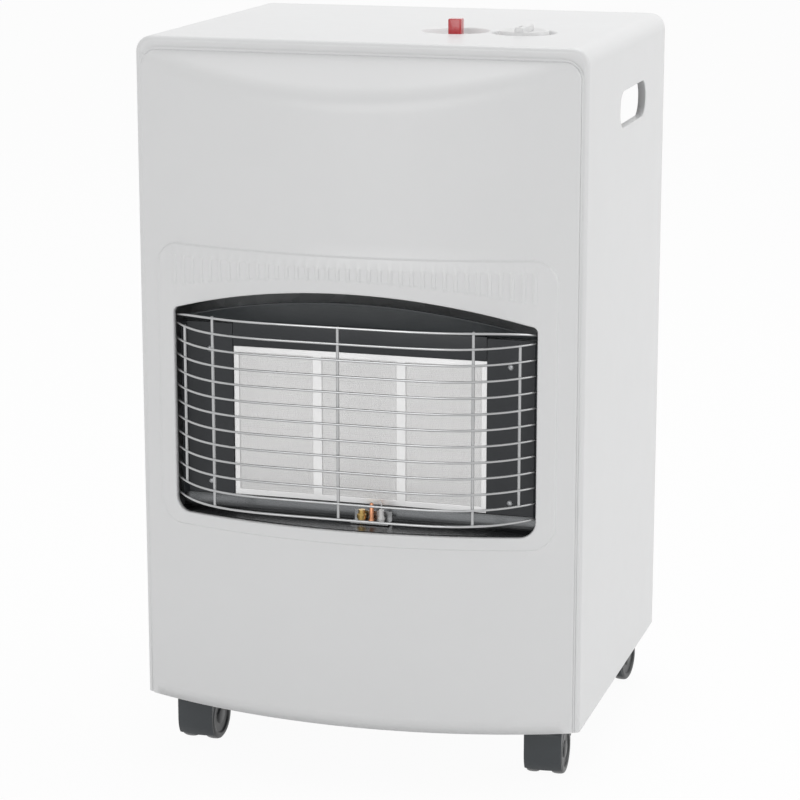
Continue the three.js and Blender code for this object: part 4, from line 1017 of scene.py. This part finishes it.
def castor_hood():
    outer, inner = WHEEL_RADIUS + 0.0036, WHEEL_RADIUS + 0.0011
    under = [on_arc(angle, inner) for angle in range(168, -35, -7)]
    stations = [CASTOR_HALF * share for share in (-1, -0.94, -0.8, -0.5, 0, 0.5, 0.8, 0.94, 1)]
    shell = slab(hood_top(outer) + under, stations, 0.05)
    hub = [on_arc(angle, 0.009) for angle in (168, 195, 225, 255, 285, 315)]
    web = slab(hood_top(outer - 0.0008) + hub + [on_arc(-34, outer - 0.006)], [-WEB_HALF, WEB_HALF])
    return joined(shell, web)


def castor_wheel(side):
    near, far = WEB_HALF + 0.0003, CASTOR_HALF - 0.0001
    middle = (near + far) / 2
    r = WHEEL_RADIUS
    wheel = spun([
        (0, near), (r - 0.0020, near), (r - 0.0008, near + 0.0008), (r - 0.0002, near + 0.0028), (r, middle),
        (r - 0.0002, far - 0.0028), (r - 0.0008, far - 0.0010), (r - 0.0022, far), (r - 0.0058, far),
        (r - 0.0066, far - 0.0004), (r - 0.0074, far - 0.0016), (0.0090, far - 0.0018),
        (0.0082, far - 0.0006), (0.0070, far - 0.0001), (0, far),
    ], 48)
    on_axle = Matrix.Translation((0, CASTOR_TRAIL, r)) @ Matrix.Rotation(side * math.pi / 2, 4, "Y")
    return moved(wheel, on_axle)


def castor_stem(low, high):
    flange_low, flange = 0.0573, 0.0617
    return spun([
        (0, low), (0.0036, low), (0.0040, low + 0.0004), (0.0040, flange_low), (0.0106, flange_low),
        (0.0110, flange_low + 0.0004), (0.0110, flange - 0.0004), (0.0106, flange), (0.0040, flange),
        (0.0040, high - 0.0010), (0.0032, high), (0, high),
    ], 40)


for end in ("front_left", "front_right", "rear_left", "rear_right"):
    roll = next(joint for joint in frame["joints"] if joint["name"] == f"roll_{end}_l")
    stem_low, stem_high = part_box(f"caster_stem_{end}")
    stands = Matrix.Translation(((stem_low.x + stem_high.x) / 2, (stem_low.y + stem_high.y) / 2, 0))
    stands = stands @ Matrix.Rotation(math.atan2(roll["axis"][1], roll["axis"][0]), 4, "Z")
    swivels = f"caster_{end}"
    hood, stem = moved(castor_hood(), stands), moved(castor_stem(stem_low.z, stem_high.z), stands)
    finished(f"castor_hood_{end}", hood, BLACK_PLASTIC, swivels, [f"caster_hood_{end}"], round_off=0.0005)
    finished(f"castor_stem_{end}", stem, POLISHED, swivels, [f"caster_stem_{end}"])
    for side, letter in ((-1, "l"), (1, "r")):
        finished(f"castor_wheel_{end}_{letter}", moved(castor_wheel(side), stands), WHEEL_PLASTIC,
                 f"wheel_{end}_{letter}", [f"caster_wheel_{end}_{letter}"])

# ---------------------------------------------------------------- carried-over shapes, smoothed

INNER_SHAPES = {
    "base_plate": (ZINC, 0.0004, SHARP), "heat_shield": (ZINC, 0.0003, SHARP),
    "side_reflector_left": (DARK_ENAMEL, 0.0003, SHARP), "side_reflector_right": (DARK_ENAMEL, 0.0003, SHARP),
    # the bottom reflector's steel is painted dark, as painted shade
    "bottom_reflector": (REFLECTOR_STEEL_PAINTED_DARK, 0.0, SHARP), "plaque_frame": (FRAME_STEEL, 0.0004, SHARP),
    "burner_housing": (ZINC, 0.0003, SHARP), "gas_manifold": (CAST, 0.0006, SHARP),
    "pilot_bracket": (POLISHED, 0.0, SHARP), "pilot_burner": (BRASS, 0.0, SHARP),
    "spark_electrode": (PORCELAIN, 0.0, SHARP), "thermocouple": (COPPER, 0.0, SHARP * 1.7),
    "ignition_lead": (LEAD_SLEEVE, 0.0, SHARP * 1.7), "pilot_pipe": (COPPER, 0.0, SHARP * 1.7),
    "supply_pipe_low": (COPPER, 0.0, SHARP * 1.7), "supply_pipe_high": (COPPER, 0.0, SHARP * 1.7),
    "gas_valve": (CAST, 0.0008, SHARP), "valve_spindle": (BRASS, 0.0, SHARP),
    "hose_inlet": (BRASS, 0.0, SHARP),
    "button_bezel": (WHITE_PLASTIC, 0.0003, SHARP), "piezo_igniter": (BLACK_PLASTIC, 0.0004, SHARP),
}
for place in ("left", "middle", "right"):
    INNER_SHAPES[f"ceramic_plaque_{place}"] = (CERAMIC, 0.0005, SHARP)
    INNER_SHAPES[f"mixing_tube_{place}"] = (ZINC, 0.0, SHARP)
    INNER_SHAPES[f"injector_{place}"] = (BRASS, 0.0003, SHARP)
for end in ("front_left", "front_right", "rear_left", "rear_right"):
    INNER_SHAPES[f"caster_axle_{end}"] = (BLACKED_STEEL, 0.0, SHARP)

BODY_OF = {"valve_spindle": "spindle"}


def smoothed(node, finish, round_off, sharp):
    """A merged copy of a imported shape, with smooth round parts and whole flat faces."""
    bm = bmesh.new()
    bm.from_mesh(frame["nodes"][node].data)
    bm.transform(frame["nodes"][node].matrix_world)
    bmesh.ops.remove_doubles(bm, verts=bm.verts, dist=TINY)
    bmesh.ops.dissolve_limit(bm, angle_limit=math.radians(0.5), verts=bm.verts, edges=bm.edges)
    body = BODY_OF.get(node) or (node.replace("axle_", "") if node.startswith("caster_axle") else "cabinet")
    finished(f"finished_{node}", bm, finish, body, [node], round_off=round_off, sharp=sharp)


for node, (finish, round_off, sharp) in INNER_SHAPES.items():
    smoothed(node, finish, round_off, sharp)

# ---------------------------------------------------------------- floor, light and camera


FLOOR_WHITE = 0.95  # the rest is the floor as lit, with the shadow
AMBIENT = 0.50


def studio_floor():
    bm = bmesh.new()
    bmesh.ops.create_grid(bm, x_segments=1, y_segments=1, size=9)
    mesh = bpy.data.meshes.new("studio_floor")
    bm.to_mesh(mesh)
    bm.free()
    floor = bpy.data.objects.new("studio_floor", mesh)
    scene.collection.objects.link(floor)
    paint = Finish("pale_floor", None, Base_Color=grey(0.86), Roughness=0.9)
    camera_ray = paint.node("ShaderNodeLightPath", out="Is Camera Ray")
    glossy_ray = paint.node("ShaderNodeLightPath", out="Is Glossy Ray")
    white = paint.node("ShaderNodeEmission", None, {"Color": grey(1.0)})
    shaded = Field(paint, paint.surface.outputs[0])
    seen = (camera_ray + glossy_ray) * FLOOR_WHITE
    shown = paint.node("ShaderNodeMixShader", None, {0: seen, 1: shaded, 2: white})
    paint.tree.links.new(shown.socket, paint.tree.nodes["Material Output"].inputs["Surface"])
    mesh.materials.append(paint.material)


def studio_world():
    world = bpy.data.worlds.new("studio")
    scene.world = world
    world.use_nodes = True
    nodes, links = world.node_tree.nodes, world.node_tree.links
    nodes.clear()
    rays = nodes.new("ShaderNodeLightPath")
    seen = nodes.new("ShaderNodeMath")
    seen.operation = "MAXIMUM"
    links.new(rays.outputs["Is Camera Ray"], seen.inputs[0])
    links.new(rays.outputs["Is Glossy Ray"], seen.inputs[1])
    soft, white = nodes.new("ShaderNodeBackground"), nodes.new("ShaderNodeBackground")
    soft.inputs["Color"].default_value = (1, 1, 1, 1)
    soft.inputs["Strength"].default_value = AMBIENT
    white.inputs["Color"].default_value = (1, 1, 1, 1)
    choice = nodes.new("ShaderNodeMixShader")
    links.new(seen.outputs[0], choice.inputs[0])
    links.new(soft.outputs[0], choice.inputs[1])
    links.new(white.outputs[0], choice.inputs[2])
    out = nodes.new("ShaderNodeOutputWorld")
    links.new(choice.outputs[0], out.inputs["Surface"])


def lamp(name, place, target, size, power):
    data = bpy.data.lights.new(name, "AREA")
    data.shape, data.size, data.energy = "DISK", size, power
    made = bpy.data.objects.new(name, data)
    scene.collection.objects.link(made)
    made.location = place
    made.rotation_euler = (Vector(target) - Vector(place)).to_track_quat("-Z", "Y").to_euler()


studio_floor()
studio_world()
CENTRE = (0, 0, 0.37)
lamp("side_soft", (3.4, 0.5, 1.5), CENTRE, 2.4, 28.8)
lamp("top_soft", (0.3, 1.1, 3.4), CENTRE, 2.4, 41)
lamp("front_fill", (-0.5, -4.0, 1.6), CENTRE, 2.6, 40.8)

CAMERA_AZIMUTH, CAMERA_ELEVATION = math.radians(16.24), math.radians(13.29)
CAMERA_DISTANCE = 2.8749
CAMERA_TARGET = Vector((-0.01109, MIDDLE, 0.3396))
SENSOR = 36.0
FOCAL_PIXELS, PICTURE_PIXELS = 2760.2, 800
LENS = FOCAL_PIXELS / PICTURE_PIXELS * SENSOR

camera = bpy.data.objects.new("camera", bpy.data.cameras.new("camera"))
scene.collection.objects.link(camera)
camera.data.sensor_width, camera.data.lens = SENSOR, LENS
camera.location = CAMERA_TARGET + CAMERA_DISTANCE * Vector((
    math.sin(CAMERA_AZIMUTH) * math.cos(CAMERA_ELEVATION),
    -math.cos(CAMERA_AZIMUTH) * math.cos(CAMERA_ELEVATION),
    math.sin(CAMERA_ELEVATION),
))
camera.rotation_euler = (CAMERA_TARGET - camera.location).to_track_quat("-Z", "Y").to_euler()
scene.camera = camera
scene.view_settings.view_transform = "Standard"
